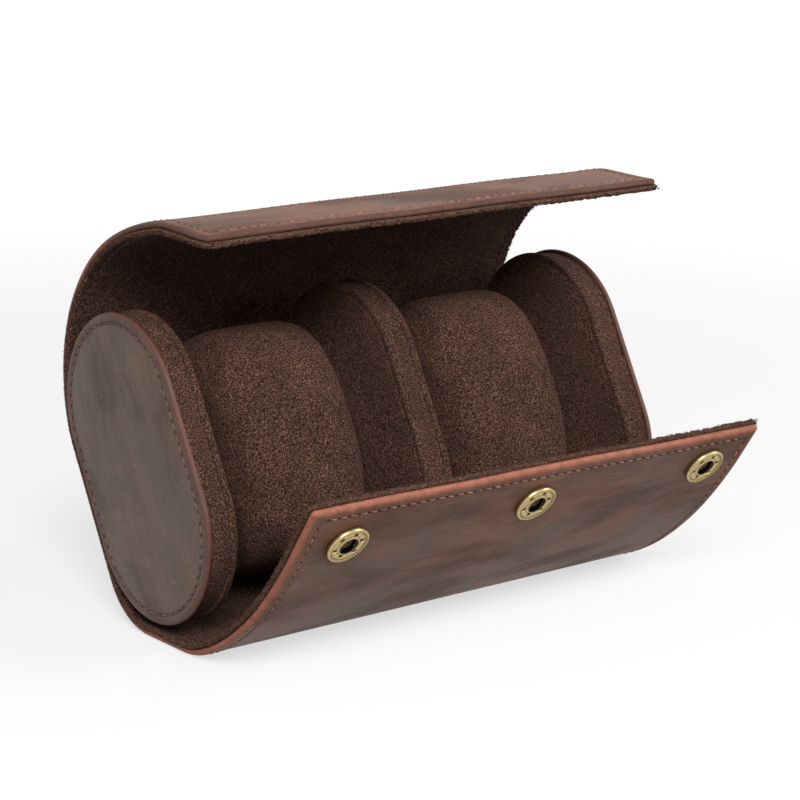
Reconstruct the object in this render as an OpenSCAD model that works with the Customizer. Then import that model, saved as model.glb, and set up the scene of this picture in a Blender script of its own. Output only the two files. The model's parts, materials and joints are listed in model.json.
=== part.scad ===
// Travel case for two wrist watches: a leather and suede wrap round three padded discs,
// open, leaning back on the flat under its lower edge. The origin is the centre of that flat.
// Profiles are drawn in a plane across the case, x towards its back and y up its long side,
// and the case's length is the third axis.

/* [Discs] */
// Length of the case over both leather end caps
case_length = 163.5; // [130:0.5:240]
// Radius of the round ends of the discs
disc_radius = 28.5; // [25:0.5:34]
// Straight side of a disc between its round ends
disc_straight = 31.5; // [20:0.5:50]
// Thickness of an end disc from cap to inner face
end_disc_t = 10.6; // [9:0.1:16]
// Thickness of the divider
divider_t = 9.4; // [7:0.1:16]
// Place of the divider's middle along the case
divider_x = -1.5; // [-8:0.5:8]
// Thickness of a leather end cap
cap_t = 2.4; // [1.5:0.1:3.5]
// Thickness of the board inside each disc
board_t = 1.5; // [0.8:0.1:2.2]
// Thickness of the foam sheet under a cap
cap_padding_t = 1; // [0.5:0.1:1.5]
// Thickness of the suede on the discs
disc_suede_t = 1; // [0.6:0.1:1.4]
// How far the suede band lies inside the cap's edge
band_inset = 0.9; // [0.9:0.05:1.5]
// Radius of the half-round seam welt
welt_r = 0.85; // [0.5:0.05:0.9]

/* [Wrap] */
// Thickness of the outer leather
leather_t = 1.8; // [1.2:0.1:2.6]
// Thickness of the suede lining
lining_t = 1.55; // [1:0.05:2.4]
// How far the caps stand out past the wrap's side edges
cap_reveal = 2; // [0.5:0.1:2.2]
// Lean of the case backwards, in degrees
lean = 28; // [20:0.5:35]
// Room between the discs and the lining over the flat
under_gap = 2.2; // [1:0.1:5]
// Distance from the case's middle forwards to the rear edge of the flat
flat_rear = 2.2; // [0:0.1:6]
// Length of the flat that the case rests on, front to back
flat_length = 17.7; // [8:0.1:24]

/* [Top flap] */
// Station along the wrap of the crease at the flap's root
top_root_at = 37.6; // [34:0.1:44]
// Length of the panel next to the root
top_root_panel = 34.9; // [25:0.1:45]
// Length of the panel between the two outer creases
top_middle_panel = 44; // [30:0.1:60]
// Length of the stitched panel at the free edge
top_edge_panel = 24; // [23:0.1:40]
// Radius of the roof of the open flap
top_roof_r = 50; // [40:1:70]
// Radius of the open flap past its roof
top_fall_r = 88; // [60:1:150]
// Radius of the bend next to the stitched panel
top_bend_r = 22; // [15:1:60]

/* [Front flap] */
// Length of the panel next to the root
front_root_panel = 28.8; // [20:0.1:40]
// Length of the panel between the two outer creases
front_middle_panel = 12.6; // [8:0.1:25]
// Length of the panel at the free edge
front_edge_panel = 42.8; // [30:0.1:60]

// Radius of the open flap just past the flat
front_heel_r = 27; // [20:1:60]
// Radius of the open flap's rising root
front_rise_r = 70; // [50:1:120]
// Radius of the open flap's middle
front_middle_r = 100; // [70:1:200]
// Radius of the open flap towards its edge
front_slope_r = 180; // [100:1:400]

/* [Snaps] */
// Distance of the outer snaps from the wrap's side edges
snap_from_side = 15.95; // [12:0.05:30]
// Outer radius of a socket
socket_r = 6.25; // [5:0.05:7.5]
// Height of a socket on the leather
socket_h = 1.6; // [1.4:0.05:2]
// Radius of the socket's hole
socket_bore_r = 2.6; // [2.4:0.05:3]
// Distance of the sockets from the front flap's edge
socket_from_edge = 14.5; // [10:0.1:25]
// Distance of the studs from the top flap's edge
stud_from_edge = 8.4; // [7:0.1:12]
// Radius of a stud's head
stud_r = 1.45; // [1:0.05:1.5]
// Radius of the posts that hold the snaps
post_r = 1; // [0.7:0.05:1.1]

/* [Pillows] */
// Width of a pillow along the case
pillow_w = 42; // [30:0.5:54]
// Height of a pillow
pillow_h = 70; // [50:0.5:80]
// Depth of a pillow, front to back
pillow_d = 52.9; // [40:0.5:56]
// Thickness of the pillow's suede cover
cover_t = 1.2; // [0.8:0.1:2]

/* [Hidden] */

leather_colour = [0.37, 0.27, 0.23];
suede_colour = [0.29, 0.2, 0.16];
foam_colour = [0.85, 0.83, 0.78];
board_colour = [0.55, 0.48, 0.4];
brass_colour = [0.72, 0.62, 0.4];

// clearances: glued layers, disc contents, disc to lining, pillow to lining
glue_gap = 0.05;
fit_gap = 0.1;
seat_gap = 0.2;
pillow_seat = 0.3;

half_straight = disc_straight / 2;
half_length = case_length / 2;
wrap_t = leather_t + glue_gap + lining_t;
lining_top = leather_t + glue_gap;
wrap_w = case_length - 2 * cap_reveal;
wrap_back = disc_radius + seat_gap + wrap_t;
band_r = disc_radius - band_inset;
filling_r = band_r - disc_suede_t - fit_gap;

// the flat is level when the profile has turned this far
flat_heading = 90 - lean;
floor_drop = half_straight * cos(lean) + disc_radius + under_gap + wrap_t;
flat_middle = flat_rear + flat_length / 2;
flat_start_y = floor_drop * sin(lean) - flat_rear * cos(lean);
flat_start_z = floor_drop * cos(lean) + flat_rear * sin(lean);
corner_r = (wrap_back - flat_start_y) / (1 - cos(flat_heading));
lower_straight = flat_start_z - corner_r * sin(flat_heading);

// runs of the open wrap's outer face: [0, length] is straight, [radius, degrees] is an arc
upper_bends = [
    [0, half_straight],
    [wrap_back, 14],
    [top_roof_r, 80],
    [top_fall_r, 15],
    [top_bend_r, 12]
];
lower_bends = [
    [0, lower_straight],
    [corner_r, flat_heading],
    [0, flat_length],
    [front_heel_r, 22],
    [front_rise_r, 14],
    [front_middle_r, 12],
    [front_slope_r, 7]
];
// the front flap's first crease lies this far past the flat
heel_gap = 0.7;
// the creases, as stations along the outer face: above the middle of the back positive
flat_end = lower_straight + corner_r * flat_heading * PI / 180 + flat_length;
front_root_at = flat_end + heel_gap;
front_middle_at = front_root_at + front_root_panel;
front_edge_at = front_middle_at + front_middle_panel;
front_end = front_edge_at + front_edge_panel;
top_middle_at = top_root_at + top_root_panel;
top_edge_at = top_middle_at + top_middle_panel;
top_end = top_edge_at + top_edge_panel;
// room across the whole profile, for cutting
wrap_reach = 2 * (top_end + front_end);
upper_runs = concat(upper_bends, [[0, top_end]]);
lower_runs = concat(lower_bends, [[0, front_end]]);

// opening travel that the wedge cut at each crease leaves room for, in degrees
top_root_opens = 12;
top_middle_opens = 18;
edge_opens = 15;
wedge_spare = 3;

stitch_inset = 3.5;
stiffener_t = 0.5;
stiffener_inset = stitch_inset + 1;
stiffener_length = 17;
post_flange_r = 3;
stud_flange_r = 3.8;
// board left between the holes for the studs' posts and the stiffener's front edge
stiffener_wall = 0.8;
stiffener_from_edge = stud_from_edge - post_flange_r - fit_gap - stiffener_wall;
// room between a hidden post flange and the curved leather over it
flange_gap = 0.1;
post_flange_t = 0.4;
post_head_t = 0.3;
socket_base_t = 0.35;
spring_wire_r = 0.25;
spring_offset = 2.1;
spring_length = 4.8;
stud_flange_t = 0.35;
stud_h = 1.3;
// an arc of the wrap turns by no more degrees, and runs no farther, in one step
arc_step = 4;
arc_chord = 4;
face_fn = 96;
small_fn = 48;

// ---- the wrap's profile ----

function run_length(run) = run[0] == 0 ? run[1] : run[0] * run[1] * PI / 180;

// a place is [x, y, heading], the heading counted from straight up towards the front
function advance(place, run, s) =
    run[0] == 0
    ? [place[0] - s * sin(place[2]), place[1] + s * cos(place[2]), place[2]]
    : let (turned = place[2] + s / run[0] * 180 / PI)
        [
            place[0] + run[0] * (cos(turned) - cos(place[2])),
            place[1] + run[0] * (sin(turned) - sin(place[2])),
            turned
        ];

function follow(runs, s, place, i = 0) =
    s <= run_length(runs[i]) || i == len(runs) - 1
    ? advance(place, runs[i], s)
    : follow(runs, s - run_length(runs[i]), advance(place, runs[i], run_length(runs[i])), i + 1);

function mirrored(place) = [place[0], -place[1], -place[2]];

function station(s) =
    s >= 0
    ? follow(upper_runs, s, [wrap_back, 0, 0])
    : mirrored(follow(lower_runs, -s, [wrap_back, 0, 0]));

// the point at a depth under the outer face
function skin(s, depth) =
    let (place = station(s))
    [place[0] - depth * cos(place[2]), place[1] - depth * sin(place[2])];

// stations where a run starts, or an arc takes a step
function marks(runs, from = 0, i = 0) =
    i == len(runs) ? [] :
    let (
        long = run_length(runs[i]),
        steps = runs[i][0] == 0 ? 1 : ceil(max(runs[i][1] / arc_step, long / arc_chord))
    )
    concat([for (k = [0 : steps - 1]) from + long * k / steps], marks(runs, from + long, i + 1));

function inner_marks(from, to) =
    let (all = concat([for (m = marks(lower_runs)) -m], marks(upper_runs)))
    [for (m = all) if (m > from + 0.3 && m < to - 0.3) m];

function sorted(list) =
    len(list) < 2 ? list :
    let (
        pivot = list[0],
        below = [for (v = list) if (v < pivot) v],
        above = [for (v = list) if (v > pivot) v]
    )
    concat(sorted(below), [pivot], sorted(above));

function stations(from, to) = concat([from], sorted(inner_marks(from, to)), [to]);

// how far a wedge cut, closed at the lining's inner face, has opened at a depth
function wedge(depth, degrees) =
    degrees == 0 ? 0 : (wrap_t - depth) * tan(degrees + wedge_spare);

// a layer of the wrap between two stations, with the wedges at its two ends
module layer(from, to, outer, inner, from_opens = 0, to_opens = 0) {
    outside = stations(from + wedge(outer, from_opens), to - wedge(outer, to_opens));
    inside = stations(from + wedge(inner, from_opens), to - wedge(inner, to_opens));
    backwards = [for (i = [len(inside) - 1 : -1 : 0]) inside[i]];
    linear_extrude(height = wrap_w, center = true)
        polygon(concat(
            [for (s = outside) skin(s, outer)],
            [for (s = backwards) skin(s, inner)]
        ));
}

module leather(from, to, from_opens = 0, to_opens = 0)
    layer(from, to, 0, leather_t, from_opens, to_opens);

module lining(from, to, from_opens = 0, to_opens = 0)
    layer(from, to, lining_top, wrap_t, from_opens, to_opens);

// ---- placing ----

// from the drawing plane to the leaning case
module lean_back()
    translate([0, flat_middle, floor_drop])
        rotate([-lean, 0, 0])
            rotate([90, 0, 90])
                children();

// stands a piece on the outer face at a station and a depth, its axis outwards
module on_skin(s, depth, along) {
    place = station(s);
    spot = skin(s, depth);
    translate([spot[0], spot[1], along])
        rotate([0, 0, place[2]])
            rotate([0, 90, 0])
                children();
}

snap_pitch = wrap_w / 2 - snap_from_side;
socket_s = -(front_end - socket_from_edge);
stud_s = top_end - stud_from_edge;

module at_snaps(s, depth)
    for (i = [-1 : 1])
        on_skin(s, depth, i * snap_pitch) children();

// ---- discs ----

module stadium(r) {
    square([2 * r, disc_straight], center = true);
    for (side = [-1, 1])
        translate([0, side * half_straight])
            circle(r, $fn = face_fn);
}

module plate(r, from, thick)
    translate([0, 0, from])
        linear_extrude(height = thick)
            stadium(r);

// carries a profile of [radius, height] once round the stadium
module round_the_disc() {
    for (side = [0, 180])
        rotate([0, 0, side])
            translate([0, half_straight, 0])
                rotate_extrude(angle = 180, $fn = face_fn)
                    children();
    for (side = [0, 1])
        mirror([side, 0, 0])
            rotate([90, 0, 0])
                linear_extrude(height = disc_straight, center = true)
                    children();
}

cap_base_x = half_length - cap_t;
end_inner_x = half_length - end_disc_t;
end_face_top = end_inner_x + disc_suede_t;
padding_x = cap_base_x - glue_gap - cap_padding_t;
end_board_x = padding_x - glue_gap - board_t;
end_foam_x = end_face_top + glue_gap;
welt_in = 0.95;

module cap_profile()
    polygon([
        [0, 0], [disc_radius, 0], [disc_radius, cap_t - 0.9], [disc_radius - 0.3, cap_t - 0.4],
        [disc_radius - 1.1, cap_t - 0.15], [disc_radius - 4, cap_t], [0, cap_t]
    ]);

module half_round(r)
    difference() {
        circle(r, $fn = small_fn);
        translate([-2 * r, 0])
            square(4 * r, center = true);
    }

module cap(side)
    color(leather_colour) lean_back() mirror([0, 0, side])
        translate([0, 0, cap_base_x])
            round_the_disc() cap_profile();

module cap_padding(side)
    color(foam_colour) lean_back() mirror([0, 0, side])
        plate(filling_r, padding_x, cap_padding_t);

module end_board(side)
    color(board_colour) lean_back() mirror([0, 0, side])
        plate(filling_r, end_board_x, board_t);

module end_foam(side)
    color(foam_colour) lean_back() mirror([0, 0, side])
        plate(filling_r, end_foam_x, end_board_x - glue_gap - end_foam_x);

module band(from, to)
    translate([0, 0, from])
        linear_extrude(height = to - from)
            difference() {
                stadium(band_r);
                stadium(band_r - disc_suede_t);
            }

module end_band(side)
    color(suede_colour) lean_back() mirror([0, 0, side])
        band(end_face_top + glue_gap, cap_base_x - glue_gap);

module inner_face(side)
    color(suede_colour) lean_back() mirror([0, 0, side])
        plate(band_r, end_inner_x, disc_suede_t);

module welt(at)
    translate([0, 0, at])
        round_the_disc()
            translate([band_r + glue_gap, 0])
                half_round(welt_r);

module end_welt(side)
    color(suede_colour) lean_back() mirror([0, 0, side])
        welt(end_inner_x + welt_in);

divider_left_x = divider_x - divider_t / 2;
divider_right_x = divider_x + divider_t / 2;
divider_board_x = divider_x - board_t / 2;
divider_foam_t = (divider_t - board_t) / 2 - disc_suede_t - 2 * glue_gap;

module divider_board()
    color(board_colour) lean_back()
        plate(filling_r, divider_board_x, board_t);

module divider_foam(from)
    color(foam_colour) lean_back()
        plate(filling_r, from, divider_foam_t);

module divider_band()
    color(suede_colour) lean_back()
        band(divider_left_x + disc_suede_t + glue_gap, divider_right_x - disc_suede_t - glue_gap);

module divider_face(from)
    color(suede_colour) lean_back()
        plate(band_r, from, disc_suede_t);

module divider_welt(at)
    color(suede_colour) lean_back()
        welt(at);

// ---- wrap ----

module back_leather()
    color(leather_colour) lean_back()
        leather(-front_root_at, top_root_at);

module back_lining()
    color(suede_colour) lean_back()
        lining(-front_root_at, top_root_at);

module top_root_leather()
    color(leather_colour) lean_back()
        leather(top_root_at, top_middle_at, top_root_opens);

module top_root_lining()
    color(suede_colour) lean_back()
        lining(top_root_at, top_middle_at, top_root_opens);

module top_middle_leather()
    color(leather_colour) lean_back()
        leather(top_middle_at, top_edge_at, top_middle_opens);

module top_middle_lining()
    color(suede_colour) lean_back()
        lining(top_middle_at, top_edge_at, top_middle_opens);

module top_edge_leather()
    color(leather_colour) lean_back()
        leather(top_edge_at, top_end, edge_opens);

// the strip between the leather and the lining, grown by a clearance and raised as a cutter
module stiffener_strip(grow, raise)
    intersection() {
        layer(
            top_end - stiffener_from_edge - stiffener_length - grow,
            top_end - stiffener_from_edge + grow,
            lining_top - raise,
            lining_top + stiffener_t + grow
        );
        cube([wrap_reach, wrap_reach, wrap_w - 2 * stiffener_inset + 2 * grow], center = true);
    }

module top_edge_lining()
    color(suede_colour) lean_back()
        difference() {
            lining(top_edge_at, top_end, edge_opens);
            stiffener_strip(glue_gap, 1);
            at_snaps(stud_s, wrap_t + 1)
                cylinder(h = wrap_t, r = post_r + fit_gap, $fn = small_fn);
        }

module top_stiffener()
    color(board_colour) lean_back()
        difference() {
            stiffener_strip(0, 0);
            at_snaps(stud_s, wrap_t)
                cylinder(h = wrap_t, r = post_flange_r + fit_gap, $fn = small_fn);
        }

module front_root_leather()
    color(leather_colour) lean_back()
        leather(-front_middle_at, -front_root_at);

module front_root_lining()
    color(suede_colour) lean_back()
        lining(-front_middle_at, -front_root_at);

module front_middle_leather()
    color(leather_colour) lean_back()
        leather(-front_edge_at, -front_middle_at);

module front_middle_lining()
    color(suede_colour) lean_back()
        lining(-front_edge_at, -front_middle_at);

module front_edge_leather()
    color(leather_colour) lean_back()
        difference() {
            leather(-front_end, -front_edge_at, 0, edge_opens);
            at_snaps(socket_s, leather_t + 1)
                cylinder(h = leather_t + 2, r = post_r + fit_gap, $fn = small_fn);
        }

module front_edge_lining()
    color(suede_colour) lean_back()
        difference() {
            lining(-front_end, -front_edge_at, 0, edge_opens);
            at_snaps(socket_s, lining_top + flange_gap + post_flange_t + glue_gap)
                cylinder(h = lining_top, r = post_flange_r + fit_gap, $fn = small_fn);
        }

// ---- snaps ----

module spring_places()
    for (side = [-1, 1])
        translate([side * spring_offset, 0, socket_base_t + post_head_t + 0.5])
            rotate([90, 0, 0])
                children();

module sockets()
    color(brass_colour) lean_back() at_snaps(socket_s, -glue_gap)
        difference() {
            rotate_extrude($fn = face_fn)
                polygon([
                    [post_r + fit_gap, 0], [socket_r - 0.15, 0], [socket_r, 0.2],
                    [socket_r, socket_h - 0.5], [socket_r - 0.3, socket_h - 0.1],
                    [socket_r - 0.8, socket_h], [socket_r - 1.3, socket_h - 0.35],
                    [socket_bore_r + 0.8, socket_h - 0.35], [socket_bore_r + 0.4, socket_h - 0.1],
                    [socket_bore_r, socket_h - 0.1], [socket_bore_r, socket_base_t],
                    [post_r + fit_gap, socket_base_t]
                ]);
            spring_places()
                cube([0.8, 0.7, spring_length + 2 * fit_gap], center = true);
        }

module socket_springs()
    color(brass_colour) lean_back() at_snaps(socket_s, -glue_gap)
        spring_places()
            cylinder(h = spring_length, r = spring_wire_r, center = true, $fn = 24);

// a socket's post starts at the flange in the lining and ends in a head over the socket's base
post_depth = lining_top + flange_gap + post_flange_t;
post_rise = post_depth + socket_base_t + 2 * glue_gap;
post_top = post_depth + socket_base_t + post_head_t;

module socket_posts()
    color(brass_colour) lean_back() at_snaps(socket_s, post_depth)
        rotate_extrude($fn = small_fn)
            polygon([
                [0, 0], [post_flange_r, 0], [post_flange_r, post_flange_t], [post_r, post_flange_t],
                [post_r, post_rise], [post_r + 0.6, post_rise], [post_r + 0.6, post_top],
                [0, post_top]
            ]);

// a stud stands inwards from the lining, so its axis is turned round
module studs()
    color(brass_colour) lean_back() at_snaps(stud_s, wrap_t + glue_gap)
        rotate([180, 0, 0])
            rotate_extrude($fn = face_fn)
                polygon([
                    [0, stud_flange_t], [post_r + fit_gap, stud_flange_t], [post_r + fit_gap, 0],
                    [stud_flange_r - 0.2, 0], [stud_flange_r, 0.15],
                    [stud_flange_r - 0.3, stud_flange_t], [stud_r - 0.2, stud_flange_t],
                    [stud_r - 0.2, stud_h - 0.7], [stud_r, stud_h - 0.45],
                    [stud_r - 0.15, stud_h - 0.15], [stud_r - 0.5, stud_h], [0, stud_h]
                ]);

module stud_posts()
    color(brass_colour) lean_back() at_snaps(stud_s, lining_top + glue_gap)
        rotate([180, 0, 0])
            rotate_extrude($fn = small_fn)
                polygon([
                    [0, 0], [post_flange_r, 0], [post_flange_r, post_flange_t],
                    [post_r, post_flange_t],
                    [post_r, lining_t + stud_flange_t - glue_gap],
                    [0, lining_t + stud_flange_t - glue_gap]
                ]);

// ---- pillows ----

pillow_back = wrap_back - wrap_t - pillow_seat;
pillow_y = pillow_back - pillow_d / 2;
left_pillow_x = (divider_left_x - end_inner_x) / 2;
right_pillow_x = (divider_right_x + end_inner_x) / 2;
ring_points = 24;
ring_steps = 15;
section_power = 2 / 2.7;
end_power = 0.4;

function bulge(value, power) = sign(value) * pow(abs(value), power);

// one point of a crowned, soft-cornered box: turn goes round the section, rise from end to end
function pillow_point(turn, rise, shrink) = [
    bulge(cos(turn), section_power) * pow(cos(rise), end_power) * (pillow_d / 2 - shrink),
    bulge(sin(turn), section_power) * pow(cos(rise), end_power) * (pillow_h / 2 - shrink),
    bulge(sin(rise), end_power) * (pillow_w / 2 - shrink)
];

module pillow_form(shrink) {
    rings = ring_steps - 1;
    points = concat(
        [for (k = [1 : rings], j = [0 : ring_points - 1])
            pillow_point(360 * j / ring_points, -90 + 180 * k / ring_steps, shrink)],
        [[0, 0, shrink - pillow_w / 2], [0, 0, pillow_w / 2 - shrink]]
    );
    low_pole = rings * ring_points;
    sides = [for (k = [0 : rings - 2], j = [0 : ring_points - 1])
        let (
            n = (j + 1) % ring_points,
            a = k * ring_points + j,
            b = k * ring_points + n
        )
        each [[a, a + ring_points, b], [b, a + ring_points, b + ring_points]]];
    ends = [for (j = [0 : ring_points - 1])
        let (
            n = (j + 1) % ring_points,
            top = (rings - 1) * ring_points
        )
        each [[low_pole, j, n], [low_pole + 1, top + n, top + j]]];
    translate([pillow_y, 0, 0])
        polyhedron(points, concat(sides, ends));
}

module pillow_foam(at)
    color(foam_colour) lean_back()
        translate([0, 0, at])
            pillow_form(cover_t + fit_gap);

module pillow_cover(at)
    color(suede_colour) lean_back()
        translate([0, 0, at])
            difference() {
                pillow_form(0);
                pillow_form(cover_t);
            }

back_leather();
back_lining();
cap(1);  // left_cap
cap_padding(1);  // left_cap_padding
end_board(1);  // left_end_board
end_foam(1);  // left_end_foam
end_band(1);  // left_band
inner_face(1);  // left_inner_face
end_welt(1);  // left_welt
cap(0);  // right_cap
cap_padding(0);  // right_cap_padding
end_board(0);  // right_end_board
end_foam(0);  // right_end_foam
end_band(0);  // right_band
inner_face(0);  // right_inner_face
end_welt(0);  // right_welt
divider_board();
divider_foam(divider_left_x + disc_suede_t + glue_gap);  // divider_left_foam
divider_foam(divider_board_x + board_t + glue_gap);  // divider_right_foam
divider_band();
divider_face(divider_left_x);  // divider_left_face
divider_face(divider_right_x - disc_suede_t);  // divider_right_face
divider_welt(divider_left_x + welt_in);  // divider_left_welt
divider_welt(divider_right_x - welt_in);  // divider_right_welt
top_root_leather();
top_root_lining();
top_middle_leather();
top_middle_lining();
top_edge_leather();
top_edge_lining();
top_stiffener();
studs();
stud_posts();
front_root_leather();
front_root_lining();
front_middle_leather();
front_middle_lining();
front_edge_leather();
front_edge_lining();
sockets();
socket_springs();
socket_posts();
pillow_foam(left_pillow_x);  // left_pillow_foam
pillow_cover(left_pillow_x);  // left_pillow_cover
pillow_foam(right_pillow_x);  // right_pillow_foam
pillow_cover(right_pillow_x);  // right_pillow_cover
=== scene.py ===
"""Looks of a leather travel case for two wrist watches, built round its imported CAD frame.

Profiles are worked out in millimetres in a plane across the case, y towards its back and z up its
long side, with x along the case. They are then leaned back into the frame, in metres. A place on
the wrap is given by x, by its station s along the outer face, and by its depth under that face.
"""

from __future__ import annotations

import json
import logging
import math
from collections.abc import Callable
from dataclasses import dataclass, field
from enum import Enum

import bmesh
import bpy
import numpy as np
from mathutils import Euler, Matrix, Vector


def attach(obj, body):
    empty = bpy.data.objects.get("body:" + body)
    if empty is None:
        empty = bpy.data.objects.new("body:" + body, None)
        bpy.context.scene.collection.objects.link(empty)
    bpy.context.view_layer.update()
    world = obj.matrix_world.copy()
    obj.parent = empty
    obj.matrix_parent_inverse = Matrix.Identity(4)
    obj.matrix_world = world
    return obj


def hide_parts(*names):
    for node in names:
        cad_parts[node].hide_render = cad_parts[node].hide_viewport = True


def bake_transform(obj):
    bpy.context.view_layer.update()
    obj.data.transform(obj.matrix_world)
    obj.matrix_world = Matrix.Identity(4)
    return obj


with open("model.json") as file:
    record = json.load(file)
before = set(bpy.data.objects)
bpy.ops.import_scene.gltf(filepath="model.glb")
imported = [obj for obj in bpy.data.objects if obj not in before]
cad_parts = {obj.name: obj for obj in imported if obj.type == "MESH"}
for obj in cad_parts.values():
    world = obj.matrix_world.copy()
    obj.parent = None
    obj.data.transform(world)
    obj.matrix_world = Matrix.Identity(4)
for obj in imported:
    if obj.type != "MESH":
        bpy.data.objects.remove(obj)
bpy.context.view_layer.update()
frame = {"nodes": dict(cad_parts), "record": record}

LOG = logging.getLogger("travel_case")
Array = np.ndarray
Material, Node, Piece = bpy.types.Material, bpy.types.Node, bpy.types.Object
Socket, Tree = bpy.types.NodeSocket, bpy.types.NodeTree
MM = 0.001
SEED = 11
FAR = 9.0  # a distance from a rim or a row of stitches at which neither shows


# ---- arrays and meshes ----


def soft_step(value: Array | float, low: float, high: float) -> Array:
    """Rises smoothly from 0 at low to 1 at high: 3t^2 - 2t^3 of the share t between them."""
    t = np.clip((np.asarray(value, float) - low) / (high - low), 0.0, 1.0)
    return t * t * (3.0 - 2.0 * t)


def hump(value: Array, middle: float, width: float) -> Array:
    """A bell of height 1: e to minus the square of the distance from its middle over its width."""
    return np.exp(-(((np.asarray(value, float) - middle) / width) ** 2))


def quarter_round(distance: Array, radius: float, drop: float) -> Array:
    """How far a rounded edge has fallen: drop times 1 minus the height of a quarter circle."""
    t = np.clip(1.0 - distance / radius, 0.0, 1.0)
    return drop * (1.0 - np.sqrt(np.clip(1.0 - t * t, 0.0, 1.0)))


def ripple(a: Array, b: Array, size: float, seed: int) -> Array:
    """A smooth uneven surface: the mean of seven sine waves that run in scattered directions.

    Args:
        a: first coordinate.
        b: second coordinate.
        size: typical wavelength, in the units of a and b.
        seed: picks the directions and phases.

    Returns:
        Heights of about -1 to 1.
    """
    rng = np.random.default_rng(SEED + seed)
    total = np.zeros(np.broadcast(a, b).shape)
    for turn, phase, stretch in rng.uniform((0, 0, 0.6), (math.pi, 2 * math.pi, 1.6), (7, 3)):
        wave = (a * math.cos(turn) + b * math.sin(turn)) / (size * stretch)
        total += np.sin(2 * math.pi * wave + phase)
    return total / 4.0


def grid_faces(rows: int, columns: int, first: int = 0, closed: bool = False) -> Array:
    """Quads of a grid whose vertices are numbered row by row.

    Args:
        rows: number of rows.
        columns: number of columns.
        first: the first vertex's number.
        closed: whether the last column joins the first.

    Returns:
        Four vertex numbers for each quad.
    """
    i, j = np.mgrid[: rows - 1, : columns - (not closed)]
    a, b = i * columns + j, i * columns + (j + 1) % columns
    return first + np.stack([a, b, b + columns, a + columns], -1).reshape(-1, 4)


@dataclass
class Surface:
    """Points and quads on their way to becoming one piece, with values kept at the points."""

    points: Array
    quads: Array
    values: dict[str, Array] = field(default_factory=dict)


def put(name: str, data: bpy.types.ID) -> Piece:
    """Puts data into a new object of the scene, at the origin."""
    made = bpy.data.objects.new(name, data)
    bpy.context.scene.collection.objects.link(made)
    return made


def make_piece(
    name: str, surface: Surface, material: Material, weld: float = 0.0, crisp: float = 50.0
) -> Piece:
    """Puts a surface, in the frame's metres, into a mesh object.

    Args:
        name: the piece's name.
        surface: its points, quads and values.
        material: its finish.
        weld: distance within which points become one, in metres, or 0.
        crisp: edges that turn by more than this many degrees stay sharp.

    Returns:
        The new object.
    """
    mesh, sides = bpy.data.meshes.new(name), len(surface.quads)
    mesh.vertices.add(len(surface.points))
    mesh.vertices.foreach_set("co", np.asarray(surface.points, np.float32).ravel())
    mesh.loops.add(sides * 4)
    mesh.loops.foreach_set("vertex_index", np.asarray(surface.quads, np.int32).ravel())
    mesh.polygons.add(sides)
    mesh.polygons.foreach_set("loop_start", np.arange(0, sides * 4, 4, dtype=np.int32))
    mesh.update(calc_edges=True)
    for key, value in surface.values.items():
        kind, part = ("FLOAT_VECTOR", "vector") if value.ndim == 2 else ("FLOAT", "value")
        layer = mesh.attributes.new(key, kind, "POINT")
        layer.data.foreach_set(part, np.asarray(value, np.float32).ravel())
    if weld:
        edit = bmesh.new()
        edit.from_mesh(mesh)
        bmesh.ops.remove_doubles(edit, verts=edit.verts, dist=weld)
        bmesh.ops.recalc_face_normals(edit, faces=edit.faces)
        edit.to_mesh(mesh)
        edit.free()
    mesh.validate()
    mesh.polygons.foreach_set("use_smooth", np.ones(len(mesh.polygons), bool))
    mesh.set_sharp_from_angle(angle=math.radians(crisp))
    mesh.materials.append(material)
    return put(name, mesh)


# ---- finishes ----


def tint(red: int, green: int, blue: int) -> tuple[float, float, float, float]:
    """A screen colour from 0 to 255 as the linear colour that shaders use."""
    shares = (c / 255.0 for c in (red, green, blue))
    linear = [s / 12.92 if s <= 0.04045 else ((s + 0.055) / 1.055) ** 2.4 for s in shares]
    return (linear[0], linear[1], linear[2], 1.0)


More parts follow.
